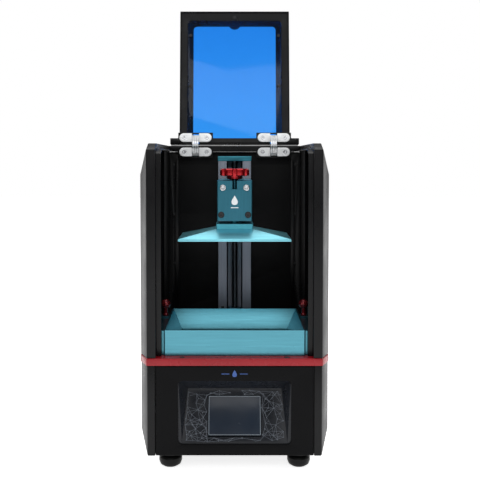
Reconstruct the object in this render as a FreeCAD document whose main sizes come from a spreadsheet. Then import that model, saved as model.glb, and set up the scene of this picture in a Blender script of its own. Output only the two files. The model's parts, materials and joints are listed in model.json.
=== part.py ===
import FreeCAD, Part
import os
import re

import Sketcher
from FreeCAD import Placement, Rotation, Vector

# A desktop resin printer, stood on its feet with its lid open.
# The origin is on the floor at the centre of the body. +X is to the right seen from the front, +Y is towards
# the back and +Z is up, all in millimetres.

SIZES = {
    # Body, casings and deck
    "body_width": 220.0,
    "body_depth": 200.0,
    "foot_height": 19.6,
    "lower_height": 105.0,
    "deck_thick": 8.4,
    "upper_height": 246.5,
    "steel": 1.6,
    "seam": 0.3,
    "casing_width": 19.6,
    "upper_inset": 0.4,
    "lower_inset": 0.8,
    "chamfer_run": 9.0,
    "chamfer_front": 20.0,
    "chamfer_top": 29.0,
    "chamfer_base": 25.0,
    "bevel_run": 22.0,
    "bevel_rise": 7.5,
    "lip_reach": 5.6,
    "flange_reach": 12.0,
    "crossmember_drop": 8.0,
    # Lid and its hinges
    "hinge_setback": 16.0,
    "hinge_rise": 1.5,
    "hinge_spread": 54.0,
    "open_angle": 187.0,
    "lid_setback": 3.5,
    "lid_drop": 1.2,
    "lid_depth": 6.0,
    "lid_side_gap": 1.4,
    "lid_foot_gap": 3.0,
    "lip_gap": 0.5,
    "lid_bar": 8.3,
    "tab_width": 48.0,
    "tab_drop": 16.0,
    "window_width": 134.0,
    "window_foot": 24.5,
    "window_head": 22.5,
    "window_corner": 6.0,
    "window_lap": 9.5,
    "window_thick": 3.0,
    "leaf_length": 44.5,
    "leaf_height": 12.0,
    "leaf_thick": 2.2,
    "leaf_gap": 0.4,
    "leaf_offset": 10.0,
    "leaf_screw_spread": 15.5,
    "cup_width": 25.0,
    "cup_depth": 13.0,
    "mortise_width": 9.8,
    "link_width": 8.2,
    "link_end": 11.4,
    "link_thick": 4.0,
    "link_bow": 3.2,
    # Build platform
    "plate_width": 135.0,
    "plate_depth": 80.0,
    "plate_edge": 2.8,
    "plate_roof": 10.6,
    "neck_width": 45.0,
    "neck_depth": 40.0,
    "neck_height": 5.8,
    "rest_lift": 130.4,
    "ball_radius": 9.0,
    "ball_gap": 0.3,
    "bracket_width": 42.5,
    "bracket_front": 23.0,
    "hanger_depth": 38.0,
    "hanger_low": 23.1,
    "arm_low": 28.6,
    "beam_low": 60.6,
    "beam_top": 71.6,
    "cover_thick": 4.0,
    "cover_screw_radius": 3.7,
    "slot_width": 5.6,
    "stud_radius": 2.5,
    "knob_radius": 18.3,
    "knob_low": 77.1,
    "knob_height": 9.0,
    "knob_hub_radius": 9.2,
    "knob_tip_radius": 3.4,
    "knob_tip_low": 71.9,
    # Vat
    "vat_setback": 11.5,
    "vat_height": 30.0,
    "vat_rim": 2.0,
    "skirt_gap": 0.5,
    "plate_clear_x": 1.5,
    "plate_clear_y": 9.0,
    "hopper_run_x": 11.5,
    "hopper_run_y": 12.5,
    "hopper_fall": 23.0,
    "film_lift": 3.0,
    "film_thick": 0.3,
    "ear_reach": 11.5,
    "ear_depth": 16.0,
    "ear_thick": 8.0,
    "ear_setback": 96.0,
    "wing_reach": 7.0,
    "clamp_screw_out": 5.0,
    "clamp_stem_radius": 2.0,
    "clamp_ball_radius": 6.0,
    "clamp_ball_lift": 14.5,
    # Lead-screw drive
    "screw_setback": 26.0,
    "column_width": 44.3,
    "column_depth": 32.0,
    "column_wall": 2.8,
    "column_slot": 21.0,
    "column_height": 225.6,
    "cap_height": 6.4,
    "foot_plate_width": 68.0,
    "foot_plate_thick": 4.0,
    "rod_radius": 3.0,
    "rod_spread": 12.0,
    "bearing_radius": 6.0,
    "bearing_length": 19.0,
    "screw_radius": 4.0,
    "run_clear": 0.05,
    "fit_clear": 0.35,
    "carriage_low": 24.6,
    "carriage_height": 40.0,
    "motor_width": 42.3,
    "motor_length": 38.0,
    "motor_shaft_radius": 2.5,
    "coupler_radius": 9.0,
    "coupler_length": 23.5,
    # Lamp, mask screen and electronics
    "mask_inset_x": 3.0,
    "mask_inset_y": 7.0,
    "mask_thick": 2.7,
    "light_border_x": 4.0,
    "light_border_y": 6.0,
    "lamp_width": 56.0,
    "heatsink_height": 27.4,
    "board_thick": 1.6,
    "recess_width": 130.0,
    "recess_low": 13.6,
    "recess_high": 87.2,
    "recess_depth": 21.0,
    "recess_back_high": 72.2,
    "recess_foot_width": 122.0,
    "recess_head_width": 110.0,
    "display_width": 61.0,
    "display_height": 44.2,
    "display_up": 9.2,
    "fan_width": 40.0,
    "fan_thick": 10.0,
    "blade_count": 7,
    # Feet and fasteners
    "foot_spread_x": 75.6,
    "foot_spread_y": 75.0,
    "foot_radius": 13.5,
    "screw_shank_radius": 1.45,
    "screw_head_radius": 2.8,
    "screw_head_height": 1.7,
    "flush_head_radius": 3.0,
    "flush_head_height": 1.7,
    "magnet_radius": 3.0,
    "magnet_spread": 60.5,
}

# Places worked out from the sizes. Each is an expression in the names above.
FRONT = "(-body_depth / 2)"
REAR = "(body_depth / 2)"
SIDE = "(body_width / 2)"
BASE = "foot_height"
DECK_LOW = "(foot_height + lower_height)"
DECK_TOP = "(foot_height + lower_height + deck_thick)"
BODY_TOP = "(foot_height + lower_height + deck_thick + upper_height)"
INNER = "(body_width / 2 - casing_width)"
PAN_SIDE = f"({INNER} + 0.8)"
PANEL_SIDE = f"({PAN_SIDE} - steel - seam)"
HINGE_Y = f"({REAR} - hinge_setback)"
HINGE_Z = f"({BODY_TOP} + hinge_rise)"
LID_HALF = f"({INNER} - lid_side_gap)"
LID_FRONT = f"({FRONT} + lid_setback)"
LID_TOP = f"({HINGE_Z} - lid_drop)"
HOPPER_X = "(plate_width / 2 + plate_clear_x)"
HOPPER_Y = "(plate_depth / 2 + plate_clear_y)"
MASK_X = f"({HOPPER_X} - mask_inset_x)"
MASK_Y = f"({HOPPER_Y} - mask_inset_y)"
LIGHT_X = f"({MASK_X} - light_border_x)"
LIGHT_Y = f"({MASK_Y} - light_border_y)"
VAT_X = f"({HOPPER_X} + hopper_run_x + vat_rim)"
VAT_Y = f"({HOPPER_Y} + hopper_run_y + vat_rim)"
VAT_MID = f"({FRONT} + vat_setback + {VAT_Y})"
VAT_TOP = f"({DECK_TOP} + vat_height)"
FILM_LOW = f"({DECK_TOP} + film_lift)"
EAR_Y = f"({FRONT} + ear_setback)"
CLAMP_X = f"({VAT_X} + clamp_screw_out)"
SCREW_Y = f"({REAR} - screw_setback)"
COLUMN_FRONT = f"({SCREW_Y} - column_depth / 2)"
COLUMN_BACK = f"({SCREW_Y} + column_depth / 2)"
COLUMN_TOP = f"({DECK_TOP} + column_height)"
PLATE_LOW = f"({DECK_TOP} + rest_lift)"
NECK_LOW = f"({PLATE_LOW} + plate_edge + plate_roof)"
BALL_Z = "(neck_height + 4.1 + ball_radius)"
BRACKET_FRONT = f"({VAT_MID} - bracket_front)"
BEVEL = "atan(bevel_rise / bevel_run)"
FRONT_TURN = f"tan((90 deg - {BEVEL}) / 2)"
TOP_TURN = f"tan({BEVEL} / 2)"
TILT = "atan((recess_depth - steel) / (recess_back_high - recess_low))"
DISPLAY_LOW = f"({BASE} + recess_low + display_up * cos({TILT}))"
DISPLAY_HIGH = f"({DISPLAY_LOW} + display_height * cos({TILT}))"
USB_Y = f"({FRONT} + 38)"
USB_Z = f"({BASE} + 55.4)"
LID_REACH = "(body_depth - hinge_setback - lid_setback)"
LID_LENGTH = "(upper_height + hinge_rise - lid_foot_gap)"
LOWER_BACK = f"({REAR} - lower_inset)"
SOCKET_X = "62"
SWITCH_Z = f"({BASE} + 63.4)"
INLET_Z = f"({BASE} + 31.4)"
FAN_X = "-50"
FAN_Z = f"({BASE} + 53.4)"
BOARD_X = ("34", "86")
BOARD_Y = ("-8", "80")

WORD = re.compile(r"[a-z_]+")

doc = FreeCAD.newDocument("ResinPrinter")
sheet = doc.addObject("Spreadsheet::Sheet", "Sizes")
for row, (name, value) in enumerate(SIZES.items(), 1):
    sheet.set(f"A{row}", name)
    sheet.set(f"B{row}", str(value))
    sheet.setAlias(f"B{row}", name)
doc.recompute()

nodes = {}


# ---------------------------------------------------------------- helpers


def cells(expression):
    """The expression with each size's name pointing at its cell."""
    return WORD.sub(lambda word: "Sizes." + word[0] if word[0] in SIZES else word[0], str(expression))


def number(expression):
    """What the expression comes to now."""
    found = sheet.evalExpression(cells(expression))
    return float(getattr(found, "Value", found))


def keep(label, thing):
    """Gives a sub-part its name and lists it for writing."""
    thing.Label = label
    nodes[label] = thing
    return thing


def new_body(label, kept=True):
    body = doc.addObject("PartDesign::Body", "".join(word.title() for word in label.split("_")))
    body.AllowCompound = True
    body.Label = label
    return keep(label, body) if kept else body


def place(thing, x="0", y="0", z="0", axis=None, angle="0 deg"):
    """Puts a thing at a point, turned about an axis by an angle."""
    if axis is not None:
        turned = Placement(Vector(), Rotation(Vector(*axis), 1.0))
        thing.Placement = turned
        thing.setExpression("Placement.Rotation.Angle", cells(angle))
    for letter, where in zip("xyz", (x, y, z)):
        thing.setExpression(f"Placement.Base.{letter}", cells(where))
    return thing


def new_sketch(body, plane, offset):
    """A sketch parallel to one of the body's planes. Those on XZ face -Y and count their offset that way."""
    sketch = body.newObject("Sketcher::SketchObject", body.Name + "Sketch")
    role = plane + "_Plane"
    datum = next(item for item in body.Origin.OriginFeatures if item.Role == role)
    sketch.AttachmentSupport = [(datum, "")]
    sketch.MapMode = "FlatFace"
    sign = "-" if plane == "XZ" else ""
    sketch.setExpression("AttachmentOffset.Base.z", cells(f"{sign}({offset})"))
    return sketch


def pin(sketch, curve, end, x, y):
    """Fixes one end of a curve at a place counted from the sketch's origin."""
    for kind, where in (("DistanceX", x), ("DistanceY", y)):
        index = sketch.addConstraint(Sketcher.Constraint(kind, -1, 1, curve, end, number(where)))
        sketch.setExpression(f"Constraints[{index}]", cells(where))


def outline(corners):
    """A closed outline of straight lines, each corner dimensioned from the origin."""

    def draw(sketch):
        points = [Vector(number(x), number(y), 0) for x, y in corners]
        first = sketch.GeometryCount
        count = len(points)
        for index, point in enumerate(points):
            line = Part.LineSegment(point, points[(index + 1) % count])
            sketch.addGeometry(line, False)
        for index in range(count):
            following = first + (index + 1) % count
            sketch.addConstraint(Sketcher.Constraint("Coincident", first + index, 2, following, 1))
        for index, (x, y) in enumerate(corners):
            pin(sketch, first + index, 1, x, y)

    return draw


def rectangle(left, right, low, high):
    return outline([(left, low), (right, low), (right, high), (left, high)])


def disc(x, y, radius):
    def draw(sketch):
        centre = Vector(number(x), number(y), 0)
        circle = sketch.addGeometry(Part.Circle(centre, Vector(0, 0, 1), number(radius)), False)
        pin(sketch, circle, 3, x, y)
        index = sketch.addConstraint(Sketcher.Constraint("Radius", circle, number(radius)))
        sketch.setExpression(f"Constraints[{index}]", cells(radius))

    return draw


def polygon(x, y, radius, sides, turn=0.0):
    """A regular polygon, its corners on a circle."""
    step = 360.0 / sides
    angles = [turn + index * step for index in range(sides)]
    return outline(
        [(f"({x}) + ({radius}) * cos({a} deg)", f"({y}) + ({radius}) * sin({a} deg)") for a in angles]
    )


def rounded(left, right, low, high, radius):
    """A rectangle with rounded corners: four lines joined by four equal tangent arcs."""

    def draw(sketch):
        x0, x1, y0, y1, r = (number(value) for value in (left, right, low, high, radius))
        first = sketch.GeometryCount
        ends = [
            ((x0 + r, y0), (x1 - r, y0)),
            ((x1, y0 + r), (x1, y1 - r)),
            ((x1 - r, y1), (x0 + r, y1)),
            ((x0, y1 - r), (x0, y0 + r)),
        ]
        centres = [(x1 - r, y0 + r), (x1 - r, y1 - r), (x0 + r, y1 - r), (x0 + r, y0 + r)]
        for start, end in ends:
            sketch.addGeometry(Part.LineSegment(Vector(*start, 0), Vector(*end, 0)), False)
        for quarter, centre in enumerate(centres):
            circle = Part.Circle(Vector(*centre, 0), Vector(0, 0, 1), r)
            begin = (quarter - 1) * 1.5707963267948966
            sketch.addGeometry(Part.ArcOfCircle(circle, begin, begin + 1.5707963267948966), False)
        for side in range(4):
            arc = first + 4 + side
            sketch.addConstraint(Sketcher.Constraint("Tangent", first + side, 2, arc, 1))
            sketch.addConstraint(Sketcher.Constraint("Tangent", arc, 2, first + (side + 1) % 4, 1))
            kind = "Vertical" if side % 2 else "Horizontal"
            sketch.addConstraint(Sketcher.Constraint(kind, first + side))
            if side:
                sketch.addConstraint(Sketcher.Constraint("Equal", first + 4, arc))
        index = sketch.addConstraint(Sketcher.Constraint("Radius", first + 4, r))
        sketch.setExpression(f"Constraints[{index}]", cells(radius))
        sides = (("DistanceY", 0, low), ("DistanceX", 1, right), ("DistanceY", 2, high), ("DistanceX", 3, left))
        for kind, side, where in sides:
            index = sketch.addConstraint(Sketcher.Constraint(kind, -1, 1, first + side, 1, number(where)))
            sketch.setExpression(f"Constraints[{index}]", cells(where))

    return draw


def extrude(body, kind, plane, low, high, loops):
    sketch = new_sketch(body, plane, high if plane == "XZ" else low)
    for draw in loops:
        draw(sketch)
    feature = body.newObject("PartDesign::" + kind, body.Name + kind)
    feature.Profile = sketch
    feature.setExpression("Length", cells(f"({high}) - ({low})"))
    return feature


def add(body, plane, low, high, *loops):
    """Pads the outlines from low to high along the axis square to the plane."""
    return extrude(body, "Pad", plane, low, high, loops)


def cut(body, plane, low, high, *loops):
    """Cuts the outlines away from low to high along the axis square to the plane."""
    before = volume(body)
    feature = extrude(body, "Pocket", plane, low, high, loops)
    feature.Reversed = True
    if not volume(body) < before - 1e-3:
        raise RuntimeError(f"a cut in {body.Label} removes nothing")
    return feature


def volume(body):
    doc.recompute()
    return body.Shape.Volume


def loft(body, kind, plane, near_at, near, far_at, far):
    """A tapered solid between two outlines on parallel planes, added or taken away."""
    sections = []
    for where, draw in ((near_at, near), (far_at, far)):
        sketch = new_sketch(body, plane, where)
        draw(sketch)
        sections.append(sketch)
    feature = body.newObject(f"PartDesign::{kind}Loft", body.Name + "Loft")
    feature.Profile = sections[0]
    feature.Sections = sections[1:]
    feature.Ruled = True
    return feature


def turn(body, corners, kind="Revolution"):
    """Revolves a half section, its corners given as radius and height, about the body's Z axis."""
    sketch = new_sketch(body, "XZ", "0")
    outline(corners)(sketch)
    feature = body.newObject("PartDesign::" + kind, body.Name + kind)
    feature.Profile = sketch
    feature.ReferenceAxis = (sketch, ["V_Axis"])
    feature.Angle = 360.0
    return feature


def around(body, feature, axis, count):
    """Repeats a feature evenly around one of the body's axes."""
    pattern = body.newObject("PartDesign::PolarPattern", body.Name + "Pattern")
    pattern.Originals = [feature]
    line = next(item for item in body.Origin.OriginFeatures if item.Role == axis + "_Axis")
    pattern.Axis = (line, [""])
    pattern.Angle = 360.0
    pattern.setExpression("Occurrences", cells(count))
    body.Tip = pattern
    return pattern


def soften(body, kind, size, wanted):
    """Rounds or chamfers the edges whose middle point passes a test."""
    doc.recompute()
    tip = body.Tip
    names = []
    for index, edge in enumerate(tip.Shape.Edges, 1):
        if wanted(edge, edge.CenterOfMass):
            names.append(f"Edge{index}")
    feature = body.newObject("PartDesign::" + kind, body.Name + kind)
    feature.Base = (tip, names)
    feature.setExpression("Radius" if kind == "Fillet" else "Size", cells(size))
    return feature


def mirrored(label, source):
    """The same piece for the other side of the printer."""
    twin = doc.addObject("Part::Mirroring", source.Name + "Twin")
    twin.Source = source
    twin.Normal = Vector(1, 0, 0)
    return keep(label, twin)


def copies(label, places):
    """Several like pieces in one node. Each place is a master piece, x, y, z and how it is turned."""
    links = []
    for master, x, y, z, axis, angle in places:
        link = doc.addObject("App::Link", master.Name + "Copy")
        link.LinkedObject = master
        links.append(place(link, x, y, z, axis, angle))
    group = doc.addObject("Part::Compound", "".join(word.title() for word in label.split("_")))
    group.Links = links
    return keep(label, group)


def mirror_pair(value):
    """The value on the left and on the right of the centre plane."""
    return (f"-({value})", f"({value})")


def centred(half, middle="0"):
    """Two ends, half a length either side of a middle."""
    return (f"({middle}) - ({half})", f"({middle}) + ({half})")


def block(x, y):
    """A rectangle in plan from two pairs of ends."""
    return rectangle(x[0], x[1], y[0], y[1])


def side_view(front, rear, low, top, inset="0", rear_inset=None):
    """The bevel-topped side view shared by the casings and the lid, drawn inside itself by an inset."""
    back = f"{rear} - ({inset if rear_inset is None else rear_inset})"
    return [
        (f"{front} + ({inset})", low),
        (f"{front} + ({inset})", f"{top} - bevel_rise - ({inset}) * {FRONT_TURN}"),
        (f"{front} + bevel_run + ({inset}) * {TOP_TURN}", f"{top} - ({inset})"),
        (back, f"{top} - ({inset})"),
        (back, low),
    ]


# ---------------------------------------------------------------- fasteners


def cap_screw(label, length, head_radius="screw_head_radius"):
    """A socket screw standing on its head's seat at the origin, its shank pointing down."""
    body = new_body(label, kept=False)
    turn(
        body,
        [
            ("0", f"-({length})"),
            ("screw_shank_radius", f"-({length})"),
            ("screw_shank_radius", "0"),
            (head_radius, "0"),
            (head_radius, "screw_head_height * 0.75"),
            (f"{head_radius} * 0.8", "screw_head_height"),
            ("0", "screw_head_height"),
        ],
    )
    socket = polygon("0", "0", f"{head_radius} * 0.45", 6)
    cut(body, "XY", "screw_head_height * 0.4", "screw_head_height", socket)
    return body


def flush_screw(label, length):
    """A countersunk cross-head screw, its head's face at the origin."""
    body = new_body(label, kept=False)
    turn(
        body,
        [
            ("0", f"-({length})"),
            ("screw_shank_radius", f"-({length})"),
            ("screw_shank_radius", "-flush_head_height"),
            ("flush_head_radius", "0"),
            ("0", "0"),
        ],
    )
    cut(body, "XY", "-0.9", "0", rectangle("-1.6", "1.6", "-0.3", "0.3"))
    cut(body, "XY", "-0.9", "0", rectangle("-0.3", "0.3", "-1.6", "1.6"))
    return body


# ---------------------------------------------------------------- body


def casing(label, inset, near, far, near_in, far_in, inner, opening):
    """One folded side casing: a tapered tray open towards the middle of the printer, its edges turned in."""
    body = new_body(label)
    knee = f"{SIDE} - chamfer_run - {inset}"
    skin = f"{SIDE} - {inset}"
    loft(body, "Additive", "YZ", knee, outline(near), skin, outline(far))
    add(body, "YZ", inner, knee, outline(near))
    doc.recompute()
    loft(body, "Subtractive", "YZ", f"{knee} - steel", outline(near_in), f"{skin} - steel", outline(far_in))
    cut(body, "YZ", f"{inner} + steel", f"{knee} - steel", outline(near_in))
    cut(body, "YZ", inner, f"{inner} + steel", outline(opening))
    return body


def make_upper_casings():
    low = f"({DECK_TOP} + seam)"
    front = f"({FRONT} + upper_inset)"
    rear = f"({REAR} - upper_inset)"
    front_flat = f"({front} + chamfer_front)"
    rear_flat = f"({rear} - chamfer_front)"
    top_flat = f"({BODY_TOP} - chamfer_top)"
    lip = "lid_depth + lip_gap"
    floor = f"{low} + steel"
    opening = side_view(LID_FRONT, rear, floor, LID_TOP, f"{lip} + steel", "steel * 2")
    body = casing(
        "right_upper_casing",
        "upper_inset",
        side_view(front, rear, low, BODY_TOP),
        side_view(front_flat, rear_flat, low, top_flat),
        side_view(front, rear, floor, BODY_TOP, "steel"),
        side_view(front_flat, rear_flat, floor, top_flat, "steel"),
        INNER,
        opening,
    )
    # The lip that the lid shuts against runs up the front and back along the top, and ends clear of the
    # swing of the lid's rear bar.
    lip_back = f"({HINGE_Y} - lid_bar + 0.5)"
    outer = side_view(LID_FRONT, lip_back, low, LID_TOP, lip, "0")[:4]
    inner = side_view(LID_FRONT, lip_back, low, LID_TOP, f"{lip} + steel", "0")[:4]
    add(body, "YZ", f"{INNER} - lip_reach", f"{INNER} + steel", outline(outer + inner[::-1]))
    # The rear flange stands one sheet in, so that the rear panel lies flush on it.
    flange = block((f"{INNER} - flange_reach", f"{INNER} + steel"), (f"{rear} - steel * 2", f"{rear} - steel"))
    add(body, "XY", low, f"{BODY_TOP} - crossmember_drop - 1", flange)
    holes = [disc(x, z, "screw_shank_radius + run_clear") for x, z in upper_panel_screws()[4:]]
    cut(body, "XZ", f"{rear} - steel * 2", f"{rear} - steel", *holes)
    mirrored("left_upper_casing", body)


def make_lower_casings():
    low = BASE
    top = f"({DECK_LOW} - seam)"
    front = f"({FRONT} + lower_inset)"
    rear = f"({REAR} - lower_inset)"
    flat = (f"({front} + chamfer_front)", f"({rear} - chamfer_front)")
    lift = f"({low} + chamfer_base)"
    inner = f"({PAN_SIDE} + seam)"

    def plain(ends, foot, inset, top_inset="0"):
        a, b = f"{ends[0]} + ({inset})", f"{ends[1]} - ({inset})"
        c, d = f"{foot} + ({inset})", f"{top} - ({top_inset})"
        return [(a, c), (a, d), (b, d), (b, c)]

    body = casing(
        "right_lower_casing",
        "lower_inset",
        plain((front, rear), low, "0"),
        plain(flat, lift, "0"),
        plain((front, rear), low, "steel", "steel"),
        plain(flat, lift, "steel", "steel"),
        inner,
        plain((front, rear), low, "9", "9"),
    )
    mirrored("left_lower_casing", body)


def make_base_pan():
    body = new_body("base_pan")
    front = f"({FRONT} + lower_inset + steel + 0.2)"
    rear = f"({REAR} - lower_inset - steel - 0.2)"
    wide = mirror_pair(PAN_SIDE)
    add(body, "XY", BASE, DECK_LOW, block(wide, (front, rear)))
    hollow = rectangle(*mirror_pair(f"{PAN_SIDE} - steel"), f"{BASE} + steel", f"{DECK_LOW} - steel")
    cut(body, "XZ", front, rear, hollow)
    mouth = block(mirror_pair(f"{PAN_SIDE} - flange_reach"), (front, rear))
    cut(body, "XY", f"{DECK_LOW} - steel", DECK_LOW, mouth)
    for side in mirror_pair(f"{PAN_SIDE} - flange_reach / 2"):
        flange = block(centred("flange_reach / 2", side), (f"{rear} - steel", rear))
        add(body, "XY", BASE, DECK_LOW, flange)
    threads = [disc(x, z, "screw_shank_radius + run_clear") for x, z in lower_panel_screws()]
    cut(body, "XZ", f"{rear} - steel", rear, *threads)
    vents = []
    for index in range(-4, 5):
        x = f"{index} * 6"
        vents.append(block(centred("1.5", x), centred("22", VAT_MID)))
    cut(body, "XY", BASE, f"{BASE} + steel", *vents)
    holes = []
    for x in mirror_pair("foot_spread_x"):
        for y in mirror_pair("foot_spread_y"):
            holes.append(disc(x, y, "screw_shank_radius + run_clear"))
    cut(body, "XY", BASE, f"{BASE} + steel", *holes)


def make_feet():
    foot = new_body("foot", kept=False)
    turn(
        foot,
        [
            ("0", "0"),
            ("foot_radius * 0.62", "0"),
            ("foot_radius * 0.9", "2.6"),
            ("foot_radius", "6.5"),
            ("foot_radius", "10.5"),
            ("foot_radius * 0.9", "12.6"),
            ("foot_radius * 0.76", "14"),
            ("foot_radius * 0.76", "foot_height"),
            ("0", "foot_height"),
        ],
    )
    doc.recompute()
    cut(foot, "XY", "0", "8", disc("0", "0", "4"))
    cut(foot, "XY", "8", "foot_height", disc("0", "0", "screw_shank_radius + run_clear"))
    spots = []
    for x in mirror_pair("foot_spread_x"):
        for y in mirror_pair("foot_spread_y"):
            spots.append((foot, x, y, "0", None, "0 deg"))
    copies("rubber_feet", spots)


def make_deck():
    body = new_body("deck_plate")
    x_flat = f"{SIDE} - chamfer_run"
    y_flat = f"{REAR} - chamfer_front"
    corners = [
        (f"-({x_flat})", FRONT),
        (x_flat, FRONT),
        (SIDE, f"-({y_flat})"),
        (SIDE, y_flat),
        (x_flat, REAR),
        (f"-({x_flat})", REAR),
        (f"-{SIDE}", y_flat),
        (f"-{SIDE}", f"-({y_flat})"),
    ]
    add(body, "XY", DECK_LOW, DECK_TOP, outline(corners))
    top = number(DECK_TOP)
    soften(body, "Chamfer", "0.9", lambda edge, middle: abs(middle.z - top) < 1e-3)
    light = block(centred(LIGHT_X), centred(LIGHT_Y, VAT_MID))
    cut(body, "XY", DECK_LOW, DECK_TOP, light, disc("0", SCREW_Y, "11.1"))
    holes = []
    for x in mirror_pair("foot_plate_width / 2 - 6"):
        for y in (f"{COLUMN_FRONT} + 6", f"{COLUMN_BACK} - 6"):
            holes.append(disc(x, y, "screw_shank_radius + run_clear"))
    cut(body, "XY", DECK_LOW, DECK_TOP, *holes)
    pockets = [disc(x, f"{FRONT} + 5.6", "magnet_radius + run_clear") for x in mirror_pair("magnet_spread")]
    cut(body, "XY", f"{DECK_TOP} - 3", DECK_TOP, *pockets)

    magnet = new_body("deck_magnet", kept=False)
    add(magnet, "XY", "0", "3.3", disc("0", "0", "magnet_radius"))
    spots = [
        (magnet, x, f"{FRONT} + 5.6", f"{DECK_TOP} - 3", None, "0 deg") for x in mirror_pair("magnet_spread")
    ]
    copies("deck_magnets", spots)


def make_front_panel():
    body = new_body("front_panel")
    front = f"({FRONT} + lower_inset)"
    back = f"({front} + steel)"
    wide = mirror_pair(f"{INNER} - 0.4")
    low, high = f"{BASE} + 0.3", f"{DECK_LOW} - 0.6"
    add(body, "XZ", front, back, rectangle(*wide, low, high))
    soften(body, "Fillet", "1.2", lambda edge, middle: edge.Length > 100 and middle.y < number(back) - 1)
    rim = mirror_pair(PANEL_SIDE)
    rim_low, rim_high = f"{BASE} + steel + seam", f"{DECK_LOW} - steel - seam"
    add(body, "XZ", back, f"{back} + 8", rectangle(*rim, rim_low, rim_high))
    inside = mirror_pair(f"{PANEL_SIDE} - steel")
    cut(body, "XZ", back, f"{back} + 8", rectangle(*inside, f"{rim_low} + steel", f"{rim_high} - steel"))
    recess = rounded(*mirror_pair("recess_width / 2"), f"{BASE} + recess_low", f"{BASE} + recess_high", "5")
    cut(body, "XZ", front, back, recess)


def make_screen_bezel():
    """The moulded recess behind the front panel, its floor leaning back to carry the touch display."""
    body = new_body("screen_bezel")
    front = f"({FRONT} + lower_inset)"
    mouth = f"({front} + steel)"
    low, high = f"({BASE} + recess_low)", f"({BASE} + recess_high)"
    back = f"({front} + recess_depth)"
    back_high = f"({BASE} + recess_back_high)"
    outer = "recess_width / 2 + 2"
    shell = [
        (mouth, f"{low} - 2"),
        (f"{front} + 3.2", f"{low} - 2"),
        (f"{back} + 2", f"{back_high}"),
        (f"{back} + 2", f"{back_high} + 2"),
        (mouth, f"{high} + 2"),
    ]
    add(body, "YZ", f"-({outer})", outer, outline(shell))
    rim = rectangle(*mirror_pair(f"{outer} + 4"), f"{low} - 5", f"{high} + 5")
    add(body, "XZ", mouth, f"{mouth} + 2", rim)
    # The hollow tapers from the wide mouth to a narrow strip at the top of the floor.
    foot, head, tip = "recess_foot_width / 2", "recess_width / 2", "recess_head_width / 2"
    wide = outline([(f"-{foot}", low), (foot, low), (head, high), (f"-{head}", high)])
    slim = rectangle(*mirror_pair(tip), f"{back_high} - 0.6", back_high)
    loft(body, "Subtractive", "XZ", mouth, wide, back, slim)
    doc.recompute()
    opening = rectangle(*mirror_pair("display_width / 2 + 0.2"), f"{DISPLAY_LOW} - 1.6", f"{DISPLAY_HIGH} + 0.3")
    cut(body, "XZ", mouth, f"{back} + 3", opening)


def make_touch_display():
    body = new_body("touch_display")
    add(body, "XZ", "0.2", "4.6", rectangle(*mirror_pair("display_width / 2"), "0", "display_height"))
    backing = rectangle(*mirror_pair("display_width / 2 + 5"), "-3", "display_height + 3")
    add(body, "XZ", "4.6", "7.6", backing)
    lift = f"display_up * cos({TILT})"
    push = f"display_up * sin({TILT})"
    place(body, "0", f"{FRONT} + lower_inset + steel + {push}", f"{BASE} + recess_low + {lift}", (1, 0, 0), f"-{TILT}")


def make_rear_panels():
    back = f"({REAR} - upper_inset)"
    upper = new_body("upper_rear_panel")
    low, high = f"({DECK_TOP} + seam)", f"({BODY_TOP} - crossmember_drop - seam)"
    add(upper, "XZ", f"{back} - steel", back, rectangle(*mirror_pair(f"{INNER} - seam"), low, high))
    drills = [disc(x, z, "screw_shank_radius + run_clear") for x, z in upper_panel_screws()]
    cut(upper, "XZ", f"{back} - steel", back, *drills)

    lower = new_body("lower_rear_panel")
    back = f"({REAR} - lower_inset)"
    low, high = f"({BASE} + steel + seam)", f"({DECK_LOW} - steel - seam)"
    add(lower, "XZ", f"{back} - steel", back, rectangle(*mirror_pair(PANEL_SIDE), low, high))
    slots = []
    for index in range(-3, 4):
        half = f"sqrt(15.5 * 15.5 - {(index * 4.4) ** 2:.2f})"
        slots.append(rectangle(*centred("1.3", f"{FAN_X} + {index * 4.4:.1f}"), *centred(half, FAN_Z)))
    switch = rectangle(*centred("6.9", SOCKET_X), *centred("9.9", SWITCH_Z))
    holes = [disc(x, z, "screw_shank_radius + run_clear") for x, z in lower_panel_screws()]
    cut(lower, "XZ", f"{back} - steel", back, switch, disc(SOCKET_X, INLET_Z, "5.6"), *slots, *holes)


def upper_panel_screws():
    heights = [f"{DECK_TOP} + 14 + {step} * (upper_height - 40) / 3" for step in range(4)]
    return [(x, z) for x in mirror_pair(f"{INNER} - flange_reach / 2") for z in heights]


def lower_panel_screws():
    heights = (f"{BASE} + 10", f"{DECK_LOW} - 10")
    return [(x, z) for x in mirror_pair(f"{PAN_SIDE} - flange_reach / 2 - 2") for z in heights]


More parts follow.
